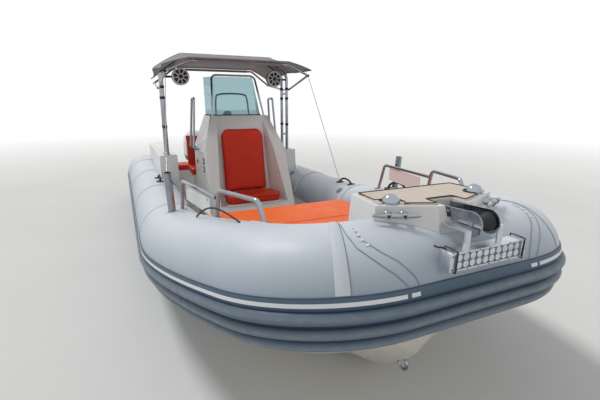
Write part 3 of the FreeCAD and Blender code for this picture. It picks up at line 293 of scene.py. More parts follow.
TUBE = tube_cloth()
PATCH = coated_cloth("patch_cloth", "dbe2e9", "cbd5de", wrinkle=0.15)
# The glued edges and folds are the tube's own colour; this darker grey is painted shadow along them.
SEAM_SHADE = plastic("seam_shade_line", "7a8898", 0.6)
GEL = gelcoat("gelcoat", "e4dfd2", "c2baa8", 0.3)
WHITE = gelcoat("white_gelcoat", "e4e4e3", "cfcdc8", 0.1)
STEEL = metal("stainless", "9fa4ab", 0.1)
CHROME = metal("lamp_chrome", "a4aab3", 0.07)
BLACK = plastic("black_plastic", "141416")
RUBBER = plastic("black_rubber", "1a1a1b", 0.6)
CAULK = plastic("dark_caulk", "2b211c", 0.6)
STRAKE = strake_rubber()
STRIPE = plastic("stripe_white", "eaeff3", 0.45, lift=1.0)
TREAD = teak_pad()
NON_SKID = non_skid()
SILVER = metal("lamp_housing", "d3d8de", 0.34)
LENS = lens()
ORANGE = coated_cloth("pad_orange", "ff7430", "f86822", 1400.0, 0.5, 0.2, 0.0)
RED = coated_cloth("seat_red", "d62c04", "bd2303", 1400.0, 0.42, 0.2, 0.0)
PIPING = coated_cloth("piping_red", "a82204", "8a1a04", 1400.0, 0.45, 0.1, 0.0)
PAD_PIPING = coated_cloth("piping_orange", "dd5722", "cb4a16", 1400.0, 0.45, 0.1, 0.0)
CANVAS = coated_cloth("awning_cloth", "8a8486", "77716f", 1600.0, 0.75, 0.25, 0.3)
BOARD = gelcoat("board_white", "e9eaea", "d8d7d2", 0.15)
PAINT = gelcoat("engine_paint", "dfe2e5", "c4c6c8", 0.15)
COWL_DARK = plastic("cowl_dark", "2d3138", 0.35)
CASTING = plastic("casting_paint", "3b3d41", 0.4)
DIAL = plastic("dial_face", "0d0f12", 0.2)
GLASS = glass()
BY_SLOT = {
    "tube": TUBE,
    "strake": STRAKE,
    "gelcoat": GEL,
    "tread": TREAD,
    "stainless": STEEL,
    "rubber": RUBBER,
    "lamp": SILVER,
    "board": BOARD,
    "sunpad": ORANGE,
    "seat_red": RED,
    "glass": GLASS,
    "black": BLACK,
    "canopy": CANVAS,
    "engine": PAINT,
    "engine_leg": CASTING,
}
WHITE_NODES = ("bow_fairing", "console", "console_door", "seat_lid")
WHITE_NODES += ("helm_seat_base", "coamings", "stern_bench")
for node, slot in SLOT_OF.items():
    materials = NODES[node].data.materials
    materials.clear()
    materials.append(WHITE if node in WHITE_NODES else BY_SLOT[slot])
NODES["bow_lamps"].data.materials[0] = CHROME


# Ways to make pieces


def finish_piece(piece, body, material=None):
    """Puts a new object in the scene on its body, with its finish."""
    if piece.name not in collection.objects:
        collection.objects.link(piece)
    if material is not None:
        piece.data.materials.append(material)
    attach(piece, body)
    return piece


def turns(count):
    """The cosine and sine of even steps round a circle."""
    return [(math.cos(2 * math.pi * k / count), math.sin(2 * math.pi * k / count)) for k in range(count)]


def grid(rows, wide, ring=True, ends="filled"):
    """Faces between rows of points. Rows are rings or open, and the ends filled, open or joined."""
    faces = []
    count = rows * wide
    for row in range(rows if ends == "joined" else rows - 1):
        for k in range(wide if ring else wide - 1):
            a, b = row * wide + k, row * wide + (k + 1) % wide
            faces.append([a, b, (b + wide) % count, (a + wide) % count])
    if ends == "filled":
        faces += [list(range(wide)), list(range(count - wide, count))]
    return faces


def mesh_piece(name, verts, faces, material, body="boat", outward=True):
    """One smooth object from points and faces, whose faces are turned outward if asked."""
    mesh = bpy.data.meshes.new(name)
    mesh.from_pydata([tuple(v) for v in verts], [], faces)
    if outward:
        bm = bmesh.new()
        bm.from_mesh(mesh)
        bmesh.ops.recalc_face_normals(bm, faces=bm.faces)
        bm.to_mesh(mesh)
        bm.free()
    mesh.shade_smooth()
    return finish_piece(bpy.data.objects.new(name, mesh), body, material)


def paint(piece, name, values):
    """Gives each point a value that a material reads."""
    piece.data.attributes.new(name, "FLOAT", "POINT").data.foreach_set("value", values)


def subdivided(piece, levels):
    tuned(piece.modifiers.new("fine", "SUBSURF"), levels=levels, render_levels=levels)


def freeze(piece):
    """Makes what the piece's modifiers give its own mesh."""
    bpy.context.view_layer.update()
    graph = bpy.context.evaluated_depsgraph_get()
    mesh = bpy.data.meshes.new_from_object(piece.evaluated_get(graph))
    piece.modifiers.clear()
    piece.data = mesh


def surface_of(piece):
    """The piece's final surface, for rays to land on."""
    bpy.context.view_layer.update()
    return BVHTree.FromObject(piece, bpy.context.evaluated_depsgraph_get())


def mirrored(half):
    """A line's port half and its mirror image, from end to end."""
    return list(half) + [(x, -y, z) for x, y, z in reversed(half)]


def wire(name, points, radius, material, body="boat", closed=False, curved=True, sides=3):
    """A round bar, cord or bead through points."""
    data = bpy.data.curves.new(name, "CURVE")
    tuned(data, dimensions="3D", bevel_depth=radius, bevel_resolution=sides, use_fill_caps=True)
    spline = data.splines.new("NURBS" if curved else "POLY")
    spline.points.add(len(points) - 1)
    for at, point in zip(spline.points, points):
        at.co = (*point, 1.0)
    if curved:
        spline.order_u = 3
        spline.use_endpoint_u = not closed
        data.resolution_u = 6
    spline.use_cyclic_u = closed
    return finish_piece(bpy.data.objects.new(name, data), body, material)


SIDES = ((1, "p"), (-1, "s"))  # port and starboard
FORWARD = (1, 0, 0)
AFTWARD = (-1, 0, 0)
UPWARD = (0, 0, 1)
WELD = 2e-5  # points nearer than this are one
FORM_SHARP = rad(40)
STRIP_SHARP = rad(50)


class Heap:
    """Many small forms gathered into one mesh."""

    def __init__(self):
        self.verts = []
        self.faces = []

    def add(self, verts, faces):
        start = len(self.verts)
        self.verts += [Vector(v) for v in verts]
        self.faces += [[i + start for i in face] for face in faces]

    def turned(self, profile, centre, axis, sides=20):
        """A turned form: profile holds (radius, distance along the axis)."""
        axis = Vector(axis).normalized()
        across = axis.orthogonal().normalized()
        other = axis.cross(across)
        verts = []
        for radius, along in profile:
            for c, s in turns(sides):
                verts.append(Vector(centre) + axis * along + (across * c + other * s) * radius)
        self.add(verts, grid(len(profile), sides))

    def head(self, rim, crown, centre, axis, sides=6):
        """A bolt's or screw's head: rim and crown are each (radius, distance along the axis)."""
        self.turned([(rim[0], 0.0), rim, crown], centre, axis, sides)

    def ring(self, profile, centre, sides):
        """A ring turned about X from a closed profile of radius and distance."""
        verts = []
        for radius, along in profile:
            verts += [Vector(centre) + Vector((along, radius * c, radius * s)) for c, s in turns(sides)]
        self.add(verts, grid(len(profile), sides, ends="joined"))

    def block(self, low, high, chamfer=0.0, turn=None):
        """A block with chamfered edges, from its low and high corners."""
        low, high = Vector(low), Vector(high)
        size = high - low
        middle = (low + high) / 2
        bm = bmesh.new()
        bmesh.ops.create_cube(bm, size=1.0)
        for v in bm.verts:
            v.co *= size
        if chamfer:
            bmesh.ops.bevel(bm, geom=bm.edges[:], offset=chamfer, segments=2, affect="EDGES", profile=0.6)
        verts = [(turn @ v.co if turn else v.co) + middle for v in bm.verts]
        bm.verts.index_update()
        self.add(verts, [[v.index for v in f.verts] for f in bm.faces])
        bm.free()

    def piece(self, name, material, body="boat", slot="gelcoat"):
        piece = mesh_piece(name, self.verts, self.faces, material, body)
        piece.data.set_sharp_from_angle(angle=FORM_SHARP)
        return piece


FOLD = rad(24)  # edges that turn by more than this are rounded
FLAT = rad(1)  # faces that turn by less than this are one


def softened(node, width, longest, rim):
    """The node's own form with its longer edges rounded below the rim's height, standing in for it."""
    mesh = NODES[node].data.copy()
    mesh.name = node + "_skin"
    bm = bmesh.new()
    bm.from_mesh(mesh)
    bmesh.ops.remove_doubles(bm, verts=bm.verts, dist=WELD)
    bmesh.ops.dissolve_limit(bm, angle_limit=FLAT, verts=bm.verts, edges=bm.edges)
    bmesh.ops.connect_verts_concave(bm, faces=bm.faces[:])
    weight = bm.edges.layers.float.new("bevel_weight_edge")
    for edge in bm.edges:
        turn = abs(edge.calc_face_angle(0.0)) if len(edge.link_faces) == 2 else math.pi
        below = min(v.co.z for v in edge.verts) < rim
        chosen = below and FOLD < turn < math.pi and edge.calc_length() > longest
        edge[weight] = 1.0 if chosen else 0.0
        edge.smooth = chosen or turn < FOLD
    for face in bm.faces:
        face.smooth = True
    bm.to_mesh(mesh)
    bm.free()
    piece = bpy.data.objects.new(node + "_skin", mesh)
    finish_piece(piece, BODY_OF[node])
    rounding = piece.modifiers.new("round", "BEVEL")
    tuned(rounding, limit_method="WEIGHT", width=width, segments=3, profile=0.6, harden_normals=True)
    freeze(piece)
    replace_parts(piece, node)


# The collar


def collar_moves():
    """The moves from the port stern to the bow's centreline, each with its length."""
    moves = [("along", Vector((KNEE_X - TUBE_AFT_X, 0, 0)), KNEE_X - TUBE_AFT_X)]
    at = Vector((KNEE_X, TUBE_Y, TUBE_Z))
    moves.append(("turn", at + Vector((0, 0, KNEE_R)), Vector((0, -1, 0)), SHEER, KNEE_R * SHEER))
    at += Vector((KNEE_R * math.sin(SHEER), 0, KNEE_R * (1 - math.cos(SHEER))))
    ahead = Vector((math.cos(SHEER), 0, math.sin(SHEER)))
    down = Vector((math.sin(SHEER), 0, -math.cos(SHEER)))
    inboard = Vector((0, -1, 0))
    moves.append(("turn", at + inboard * FLARE_R, down, FLARE, FLARE_R * FLARE))
    at += ahead * (FLARE_R * math.sin(FLARE)) + inboard * (FLARE_R * (1 - math.cos(FLARE)))
    centre = at + (inboard * math.cos(FLARE) - ahead * math.sin(FLARE)) * CORNER_R
    corner = math.pi / 2 - FLARE
    moves.append(("turn", centre, down, corner, CORNER_R * corner))
    end = centre + ahead * CORNER_R
    moves.append(("along", Vector((0, -end.y, 0)), end.y))
    return moves


MOVES = collar_moves()
HALF_RUN = sum(move[-1] for move in MOVES)
CORNER_RUN = sum(move[-1] for move in MOVES[:3])  # where the corner starts, along the port side


def collar_at(run):
    """The tube's centre, its outboard and its upward direction, at a distance from the port stern."""
    starboard = run > HALF_RUN
    left = 2 * HALF_RUN - run if starboard else run
    at, out, up = Vector((TUBE_AFT_X, TUBE_Y, TUBE_Z)), Vector((0, 1, 0)), Vector((0, 0, 1))
    for move in MOVES:
        share = max(0.0, min(1.0, left / move[-1]))
        if move[0] == "along":
            at = at + move[1] * share
        else:
            turn = Matrix.Rotation(move[3] * share, 3, move[2])
            at, out, up = move[1] + turn @ (at - move[1]), turn @ out, turn @ up
        left -= move[-1]
        if left <= 0:
            break
    if starboard:
        at, out, up = (Vector((v.x, -v.y, v.z)) for v in (at, out, up))
    return at, out, up


def on_tube(run, degrees, lift=0.0):
    """A point above the tube's skin, by its place along the tube and its angle up from outboard."""
    at, out, up = collar_at(run)
    angle = rad(degrees)
    return at + (out * math.cos(angle) + up * math.sin(angle)) * (TUBE_R + lift)


STATION_GAP = 0.05
CORNER_GAP = 0.4  # share of the gap round the bow's corners
CORNER_REACH = 0.1


def stations():
    """Places along the whole collar, closer together round the bow's corners."""
    runs = []
    run = 0.0
    while run < 2 * HALF_RUN:
        runs.append(run)
        side = min(run, 2 * HALF_RUN - run)
        near = CORNER_RUN - CORNER_REACH < side < HALF_RUN - MOVES[4][-1] + CORNER_REACH
        run += STATION_GAP * CORNER_GAP if near else STATION_GAP
    return runs + [2 * HALF_RUN]


def other_side(run, side):
    """The same place on the port side, or on the starboard one."""
    return run if side == 1 else 2 * HALF_RUN - run


def ripple(point, run, degrees):
    """How far the fabric stands off a perfect tube: soft swells, and puckers at the corners and inside."""

    def near(value, middle, width):
        return math.exp(-(((value - middle) / width) ** 2))

    side = min(run, 2 * HALF_RUN - run)
    pucker = near(side, CORNER_RUN, 0.1) * noise.noise(Vector((run * 9, degrees * 0.5, 3.0)))
    inside = near(degrees, 120, 35) * noise.noise(Vector((run * 14, degrees * 0.08, 7.0)))
    return noise.noise(point * 2.2) * 0.0016 + pucker * 0.0014 + inside * 0.0018


TUBE_SIDES = 72
TIP_DEG = (4, 20, 38, 56, 74)
CONE_SHARES = (0.0, 0.25, 0.5, 0.75, 0.97)


def cone_rings(side):
    """Rings of points along one stern cone, from its round tip forward."""
    tip = TUBE_AFT_X - CONE_LENGTH
    line = [(tip - CONE_TIP_R * math.cos(rad(a)), CONE_TIP_R * math.sin(rad(a))) for a in TIP_DEG]
    for share in CONE_SHARES:
        line.append((tip + CONE_LENGTH * share, CONE_TIP_R + (TUBE_R - CONE_TIP_R) * share))
    return [
        [Vector((x, side * (TUBE_Y + radius * c), TUBE_Z + radius * s)) for c, s in turns(TUBE_SIDES)]
        for x, radius in line
    ]


def tube_skin():
    """The air tube's fabric, with its cones and round tips at the stern."""
    rows = cone_rings(1)
    for run in stations():
        row = []
        for k in range(TUBE_SIDES):
            degrees = 360 * k / TUBE_SIDES
            row.append(on_tube(run, degrees, ripple(on_tube(run, degrees), run, degrees)))
        rows.append(row)
    rows += cone_rings(-1)[::-1]
    verts = [v for row in rows for v in row]
    skin = mesh_piece("tube_skin", verts, grid(len(rows), TUBE_SIDES), TUBE)
    # The height given here drives the painted shade on the tube's lower side.
    paint(skin, "height", [0.5 + 0.5 * s for _, s in turns(TUBE_SIDES)] * len(rows))
    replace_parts(skin, "tube_collar")


# The strake's edges are angles up from outboard in degrees, and its heights are above the tube
STRAKE_TOP = 8.0
STRAKE_END = -44.0
STRAKE_BASE = 0.005
STRAKE_LIP = 0.0004
GROOVE = 0.003
RIB_HEIGHT = 0.022
RIBS = ((-3.0, -14.5), (-17.0, -28.5), (-31.0, -42.5))
RIB_STEPS = 10
STRIPE_DEG = (3.9, 0.5)
STRIPE_FOOT = 0.0045
STRIPE_TOP = 0.0058


def strake_profile():
    """Angle, height and painted light (0 painted dark shade, 0.4 the band's own colour, 1 lit chalky crest)
    down the strake.
    """
    # Painted shadow darkens the strake's top edge under the tube and its foot, and painted shade darkens the
    # band towards the first rib.
    rows = [(STRAKE_TOP + 0.2, STRAKE_LIP, 0.0), (STRAKE_TOP, 0.004, 0.1)]
    band = ((STRAKE_TOP - 0.6, 0.15), (7.0, 0.4), (4.4, 0.4), (0.2, 0.3), (-2.6, 0.1))
    rows += [(degrees, STRAKE_BASE, painted_light) for degrees, painted_light in band]
    for start, end in RIBS:
        for k in range(RIB_STEPS + 1):
            t = k / RIB_STEPS
            height = GROOVE + RIB_HEIGHT * math.sin(math.pi * t) ** 0.6
            # Each rib is painted dark in its grooves and lower half as shade, and lit high on its crest.
            painted_light = 0.4 * min(1.0, 8 * t * (1 - t)) + 0.6 * math.exp(-(((t - 0.38) / 0.2) ** 2))
            rows.append((start + (end - start) * t, height, painted_light))
    return rows + [(STRAKE_END, STRAKE_BASE, 0.05), (STRAKE_END - 0.2, STRAKE_LIP, 0.0)]


def swept(name, profile, runs, material):
    """A closed strip along the collar from rows of angle and height."""
    verts = [on_tube(run, row[0], row[1]) for run in runs for row in profile]
    piece = mesh_piece(name, verts, grid(len(runs), len(profile)), material)
    piece.data.set_sharp_from_angle(angle=STRIP_SHARP)
    return piece


def strake_skin():
    """The rubbing strake with its three soft ribs."""
    profile = strake_profile()
    runs = stations()
    skin = swept("strake_skin", profile, runs, STRAKE)
    # Each point carries its painted light and shade.
    paint(skin, "painted_light", [row[2] for row in profile] * len(runs))
    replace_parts(skin, "rub_strake")


STRIPE_GAPS = (0.342, 0.331, 0.303)  # from the centreline: where the stripe stops, then its last dash
STRIPE_STOPS = (0.0,) + tuple(HALF_RUN - gap for gap in STRIPE_GAPS)
STRIPE_STOPS += tuple(HALF_RUN + gap for gap in reversed(STRIPE_GAPS)) + (2 * HALF_RUN,)


def stripe():
    """The white stripe let into the strake's band, broken at the bow."""
    top, low = STRIPE_DEG
    profile = [(top, STRIPE_FOOT), (top, STRIPE_TOP), (low, STRIPE_TOP), (low, STRIPE_FOOT)]
    for index, (start, end) in enumerate(zip(STRIPE_STOPS[::2], STRIPE_STOPS[1::2])):
        between = [run for run in stations() if start < run < end]
        swept(f"white_stripe_{index}", profile, [start] + between + [end], STRIPE)


TAPE_ROWS = 31
TAPE_SECTION = ((-0.5, 0.0014), (-0.46, 0.0024), (0.0, 0.0028), (0.46, 0.0024), (0.5, 0.0014))
SEAM_STEPS = 8
SEAM_LIFT = 0.0028
SEAM_DEPTH = 0.001


def tape(name, run, width, low, high):
    """A tape round the tube over a joint, between two angles."""
    verts = []
    for k in range(TAPE_ROWS):
        degrees = low + (high - low) * k / (TAPE_ROWS - 1)
        verts += [on_tube(run + across * width, degrees, lift) for across, lift in TAPE_SECTION]
    faces = grid(TAPE_ROWS, len(TAPE_SECTION), ring=False, ends="open")
    mesh_piece(name, verts, faces, PATCH, outward=False)


def seam(name, places, width=0.0026):
    """A thin glued edge on the tube through places given by run and angle, in a darker grey that is painted
    shadow.
    """
    points = []
    for start, end in zip(places, places[1:]):
        for k in range(SEAM_STEPS):
            points.append(tuple(a + (b - a) * k / SEAM_STEPS for a, b in zip(start, end)))
    points.append(places[-1])
    skin = [on_tube(run, degrees, SEAM_LIFT) for run, degrees in points]
    verts = []
    for i, at in enumerate(skin):
        ahead = (skin[min(i + 1, len(skin) - 1)] - skin[max(i - 1, 0)]).normalized()
        out = (at - collar_at(points[i][0])[0]).normalized()
        side = ahead.cross(out).normalized() * width / 2
        sunk = out * SEAM_DEPTH
        verts += [at - side - sunk, at - side, at + side, at + side - sunk]
    mesh_piece(name, verts, grid(len(skin), 4, ring=False, ends="open"), SEAM_SHADE, outward=False)


# Each joint's run from the port stern, and its tape's width
RING_SEAMS = ((0.55, 0.06), (1.60, 0.06), (2.62, 0.06), (3.65, 0.06), (HALF_RUN - 0.487, 0.034))


SEAM_LOW = STRAKE_TOP + 1
SEAM_HIGH = 172


def collar_seams():
    """The joints between the tube's sections, on both sides."""
    for index, (run, width) in enumerate(RING_SEAMS):
        for side, word in SIDES:
            place = other_side(run, side)
            tape(f"seam_tape_{word}{index}", place, width, SEAM_LOW, SEAM_HIGH)
            edge = place + (width / 2 + 0.001) * side
            seam(f"seam_edge_{word}{index}", [(edge, SEAM_LOW), (edge, 90), (edge, SEAM_HIGH)])


# Places on the nose: gap from the centreline along the tube, and angle
NOSE_EDGE = ((0.466, 84), (0.458, 62), (0.440, 46), (0.400, 32), (0.362, 20), (0.335, 9))
NOSE_FOLD = ((0.430, 70), (0.420, 54), (0.382, 40), (0.345, 30), (0.318, 18), (0.300, 9))
NOSE_TABS = ((0.427, 66), (0.424, 60), (0.420, 54), (0.410, 48))
NOSE_TAB_R = 0.0065


def saddle():
    """The fabric patches on the tube's nose beside the fairing, with their glued edges and tabs."""
    tabs = Heap()
    for side, word in SIDES:
        lines = (NOSE_EDGE, NOSE_FOLD, NOSE_TABS)
        edge, fold, spots = ([(HALF_RUN - side * gap, turn) for gap, turn in line] for line in lines)
        # Edge and fold are drawn as dark lines of painted shadow.
        seam("nose_edge_" + word, edge)
        seam("nose_fold_" + word, fold, 0.0024)
        for run, degrees in spots:
            disc_on_tube(tabs, run, degrees, NOSE_TAB_R, 0.0034, 12)
    tabs.piece("nose_tabs", STRIPE, slot="tube")


def disc_on_tube(heap, run, degrees, radius, height=0.004, sides=28):
    """A round patch that follows the tube."""
    verts = [on_tube(run, degrees, height)]
    for ring, up in ((0.55, height), (0.94, height * 0.9), (1.0, 0.0006)):
        for k in range(sides):
            turn = 2 * math.pi * k / sides
            across = math.degrees(radius * ring * math.sin(turn) / TUBE_R)
            verts.append(on_tube(run + radius * ring * math.cos(turn), degrees + across, up))
    faces = [[0, 1 + k, 1 + (k + 1) % sides] for k in range(sides)]
    for row in range(2):
        for k in range(sides):
            a, b = 1 + row * sides + k, 1 + row * sides + (k + 1) % sides
            faces.append([a, a + sides, b + sides, b])
    heap.add(verts, faces)


def nearest_place(x, y):
    """The run and angle of the tube's upper skin over a point of the plan."""
    spot = Vector((x, abs(y)))
    places = []
    for i in range(900):
        run = HALF_RUN * i / 900
        centre, out, _ = collar_at(run)
        places.append(((spot - centre.xy).length, run, centre.xy, out.xy))
    _, run, centre, out = min(places, key=lambda place: place[0])
    reach = (spot - centre).dot(out) / TUBE_R
    degrees = math.degrees(math.acos(max(-1.0, min(1.0, reach))))
    return other_side(run, 1 if y >= 0 else -1), degrees


FOOT_SPOTS = ((2.02, 0.785), (2.5, 0.65), (1.29, 0.88), (1.425, 0.965))
FOOT_PATCH_R = 0.062
STAY_SPOT = (0.32, 1.04)
STAY_PATCH_R = 0.05


def tube_patches():
    """Round fabric patches under the rails' feet, the rod holders and the stay."""
    heap = Heap()
    for x, y in FOOT_SPOTS:
        for side, _ in SIDES:
            disc_on_tube(heap, *nearest_place(x, side * y), FOOT_PATCH_R)
    disc_on_tube(heap, *nearest_place(*STAY_SPOT), STAY_PATCH_R)
    heap.piece("foot_patches", PATCH, slot="tube")


def arched(run, degrees, length, foot, rise, steps, power=1.0):
    """Points along the tube that rise from its skin and come back to it."""
    points = []
    for k in range(steps + 1):
        t = k / steps
        lift = foot + rise * math.sin(math.pi * t) ** power
        points.append(on_tube(run + (t - 0.5) * length, degrees, lift))
    return points


HANDLES = (("p", 3.45), ("p2", 4.35), ("s", 2 * HALF_RUN - 2.35))  # each handle's run
HANDLE_DEG = 96
HANDLE_LENGTH = 0.24
HANDLE_PAD_R = 0.042


def grab_handles():
    """Black moulded handles, each on two pads glued to the tube."""
    for word, run in HANDLES:
        name = "grab_handle_" + word
        heap = Heap()
        for end in (-0.5, 0.5):
            disc_on_tube(heap, run + end * HANDLE_LENGTH, HANDLE_DEG, HANDLE_PAD_R, 0.006)
        heap.piece(name + "_pads", RUBBER, slot="rubber")
        points = arched(run, HANDLE_DEG, HANDLE_LENGTH, 0.008, 0.042, 12, 0.6)
        wire(name, points, 0.010, RUBBER)


VALVE_RUNS = (0.9, 2.3, 3.55, 4.55)
VALVE_DEG = 128
VALVE_BODY = ((0.026, 0.0), (0.026, 0.006), (0.018, 0.012), (0.004, 0.014))


def valves():
    """Inflation valves along the inner side of the tubes."""
    heap = Heap()
    for run in VALVE_RUNS:
        for side, _ in SIDES:
            place = other_side(run, side)
            disc_on_tube(heap, place, VALVE_DEG, 0.04, 0.006)
            at = on_tube(place, VALVE_DEG, 0.005)
            heap.turned(VALVE_BODY, at, at - collar_at(place)[0])
    heap.piece("valves", plastic("valve_grey", "8f979f", 0.5), slot="rubber")


def thin_strap():
    """The thin black strap that arches over the starboard bow tube."""
    run, degrees = nearest_place(2.3, -0.9)
    wire("lifting_strap", arched(run, degrees + 14, 0.5, 0.003, 0.06, 16), 0.005, RUBBER)


# Cushions


CLOTH_FRAMES = 18
CLOTH_STIFFNESS = 20
CLOTH_PRESSURE = 4.0


def smoothed(piece, name, rounds):
    tuned(piece.modifiers.new(name, "SMOOTH"), factor=0.5, iterations=rounds)


def inflate(piece, cap):
    """Blows the piece up as cloth under pressure, no point by more than the cap."""
    start = [v.co.copy() for v in piece.data.vertices]
    settings = piece.modifiers.new("cloth", "CLOTH").settings
    settings.effector_weights.gravity = 0.0
    tuned(settings, use_pressure=True, uniform_pressure_force=CLOTH_PRESSURE, quality=3)
    tuned(settings, tension_stiffness=CLOTH_STIFFNESS, compression_stiffness=CLOTH_STIFFNESS)
    for step in range(1, CLOTH_FRAMES + 1):
        scene.frame_set(step)
    freeze(piece)
    for v, first in zip(piece.data.vertices, start):
        move = v.co - first
        if move.length > cap:
            v.co = first + move * (cap / move.length)
    scene.frame_set(1)


def swollen(node, material, voxel, shrink, cap, rounds=12, keep_low=True):
    """A soft form blown up from the node's plain solid, standing in for it."""
    mesh = NODES[node].data.copy()
    mesh.name = node + "_soft"
    mesh.materials.clear()
    bm = bmesh.new()
    bm.from_mesh(mesh)
    bmesh.ops.remove_doubles(bm, verts=bm.verts, dist=WELD)
    bm.to_mesh(mesh)
    bm.free()
    piece = bpy.data.objects.new(node + "_soft", mesh)
    collection.objects.link(piece)
    tuned(piece.modifiers.new("remesh", "REMESH"), mode="VOXEL", voxel_size=voxel)
    smoothed(piece, "round", rounds)
    tuned(piece.modifiers.new("inward", "DISPLACE"), strength=-shrink, mid_level=0.0)
    freeze(piece)
    inflate(piece, cap)
    if keep_low:
        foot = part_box(node)[0].z
        for v in piece.data.vertices:
            v.co.z = max(v.co.z, foot)
    smoothed(piece, "relax", 3)
    freeze(piece)
    subdivided(piece, 1)
    piece.data.shade_smooth()
    finish_piece(piece, BODY_OF[node], material)
    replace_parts(piece, node)
    return piece


def bead_round(name, piece, node, middle, across, along, radius, material, reach=0.8, count=72):
    """Piping on a cushion's surface, where rays from a ring round its middle meet it."""
    tree = surface_of(piece)
    across, along = Vector(across), Vector(along)
    points = []
    for c, s in turns(count):
        out = across * c + along * s
        hit = tree.ray_cast(middle + out * reach, -out, reach)
        if hit[0] is not None:
            points.append(hit[0] + hit[1] * radius * 0.3)
    wire(name, points, radius, material, BODY_OF[node], closed=True)


LEFTWARD = (0, 1, 0)
SEAT_BEAD = 0.0028
BACK_LEAN = Vector((-0.16, 0, 0.915)).normalized()  # up along the back cushion's face


def seat_front():
    """The front seat's two cushions and their stitched edges."""
    node = "seat_cushion"
    cushion = swollen(node, RED, 0.0075, 0.001, 0.009, rounds=8)
    low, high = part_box(node)
    for level, word in ((high.z - 0.020, "top"), (low.z + 0.016, "foot")):
        middle = Vector(((low.x + high.x) / 2, (low.y + high.y) / 2, level))
        bead_round("seat_piping_" + word, cushion, node, middle, FORWARD, LEFTWARD, SEAT_BEAD, PIPING)
    node = "back_cushion"
    back = swollen(node, RED, 0.0075, -0.003, 0.008, rounds=8, keep_low=False)
    low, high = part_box(node)
    middle = (low + high) / 2 + Vector((0.014, 0, 0))
    bead_round("back_piping", back, node, middle, LEFTWARD, BACK_LEAN, SEAT_BEAD, PIPING)


PAD_MIDDLE_X = 1.75
PAD_SEAMS_X = (1.55, 2.12)
PAD_SEAM_HALF = 0.66
PAD_SEAM_STEPS = 40


def sun_pad():
    """The fore deck's cushion, its piping and its two seams."""
    pad = swollen("sun_pad", ORANGE, 0.016, 0.008, 0.012, rounds=3)
    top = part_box("sun_pad")[1].z
    middle = Vector((PAD_MIDDLE_X, 0, top - 0.018))
    bead_round("pad_piping", pad, "sun_pad", middle, FORWARD, LEFTWARD, 0.0035, PAD_PIPING, 1.6, 140)
    tree = surface_of(pad)
    for index, x in enumerate(PAD_SEAMS_X):
        points = []
        for k in range(PAD_SEAM_STEPS + 1):
            y = PAD_SEAM_HALF * (2 * k / PAD_SEAM_STEPS - 1)
            hit = tree.ray_cast(Vector((x, y, top + 0.2)), Vector((0, 0, -1)), 0.5)
            if hit[0] is not None:
                points.append(hit[0] + Vector((0, 0, 0.0004)))
        wire(f"pad_seam_{index}", points, 0.0022, PAD_PIPING)


BENCH_INSET = 0.012


def plain_cushions():
    """The helm's cushions and the stern bench's, with the bench's piping."""
    swollen("helm_cushions", RED, 0.011, 0.008, 0.012)
    swollen("stern_cushion", RED, 0.012, 0.008, 0.012, rounds=6)
    low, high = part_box("stern_cushion")
    x0, x1, y1 = low.x + BENCH_INSET, high.x - BENCH_INSET, high.y - BENCH_INSET
    corners = [(x0, -y1), (x0, y1), (x1, y1), (x1, -y1)]
    points = []
    for (x, y), (nx, ny) in zip(corners, corners[1:] + corners[:1]):
        for k in range(10):
            points.append((x + (nx - x) * k / 10, y + (ny - y) * k / 10, high.z - BENCH_INSET))
    wire("bench_piping", points, 0.003, PIPING, closed=True)


# The cloth top

HOOPS = (
    # x, z on top, half-width of the flat, z at the edge, half-width at the edge
    (0.0, 1.970, 0.540, 1.890, 0.815),
    (-0.62, 2.0723, 0.540, 1.905, 0.840),
    (-0.79, 2.0723, 0.540, 1.905, 0.840),
    (-1.40, 1.985, 0.540, 1.830, 0.815),
)
CANOPY_COLUMNS = 48
BAY_ROWS = (16, 4, 16)
BAY_SAG = (0.016, 0.002, 0.016)


def arc_through(a, b, c, count):
    """Points on the arc through three points of a cross-section."""
    (ax, ay), (bx, by), (cx, cy) = a, b, c
    aa, bb, cc = (x**2 + y**2 for x, y in (a, b, c))
    d = 2 * (ax * (by - cy) + bx * (cy - ay) + cx * (ay - by))
    ux = (aa * (by - cy) + bb * (cy - ay) + cc * (ay - by)) / d
    uy = (aa * (cx - bx) + bb * (ax - cx) + cc * (bx - ax)) / d
    start = math.atan2(ay - uy, ax - ux)
    end = math.atan2(cy - uy, cx - ux)
    radius = math.hypot(ax - ux, ay - uy)
    angles = [start + (end - start) * k / count for k in range(count)]
    return [(ux + radius * math.cos(angle), uy + radius * math.sin(angle)) for angle in angles]


def hoop_line(top_z, top_half, edge_z, edge_half):
    """Evenly numbered points across the cloth at one hoop, port to starboard."""
    side = CANOPY_COLUMNS // 4
    middle = ((top_half + edge_half) / 2, edge_z + (top_z - edge_z) * 0.58)
    port = arc_through((edge_half, edge_z), middle, (top_half, top_z), side)
    flat = [(top_half * (1 - 2 * k / (2 * side)), top_z) for k in range(2 * side)]
    starboard = [(-y, z) for y, z in reversed(port)]
    return port + flat + [(-top_half, top_z)] + starboard


def canopy_rows():
    """Rows of points across the cloth, from its fore edge to its aft one."""
    rows = []
    for bay, (count, sag) in enumerate(zip(BAY_ROWS, BAY_SAG)):
        fore, aft = HOOPS[bay], HOOPS[bay + 1]
        lines = hoop_line(*fore[1:]), hoop_line(*aft[1:])
        last = bay == len(BAY_ROWS) - 1
        for k in range(count + last):
            t = k / count
            bow = math.sin(math.pi * t)
            x = fore[0] + (aft[0] - fore[0]) * t
            row = []
            for j, (a, b) in enumerate(zip(*lines)):
                y = a[0] + (b[0] - a[0]) * t
                z = a[1] + (b[1] - a[1]) * t
                across = abs(2 * j / CANOPY_COLUMNS - 1)
                crease = noise.noise(Vector((x * 3.0, y * 2.0, 5.0))) * 0.004
                z += crease * bow - bow * sag * (1 - 0.4 * across)
                row.append(Vector((x, y * (1 - 0.03 * bow * across**6), z)))
            rows.append(row)
    return rows


CLOTH_THICK = 0.0022
SEAM_ROWS = (16, 20)


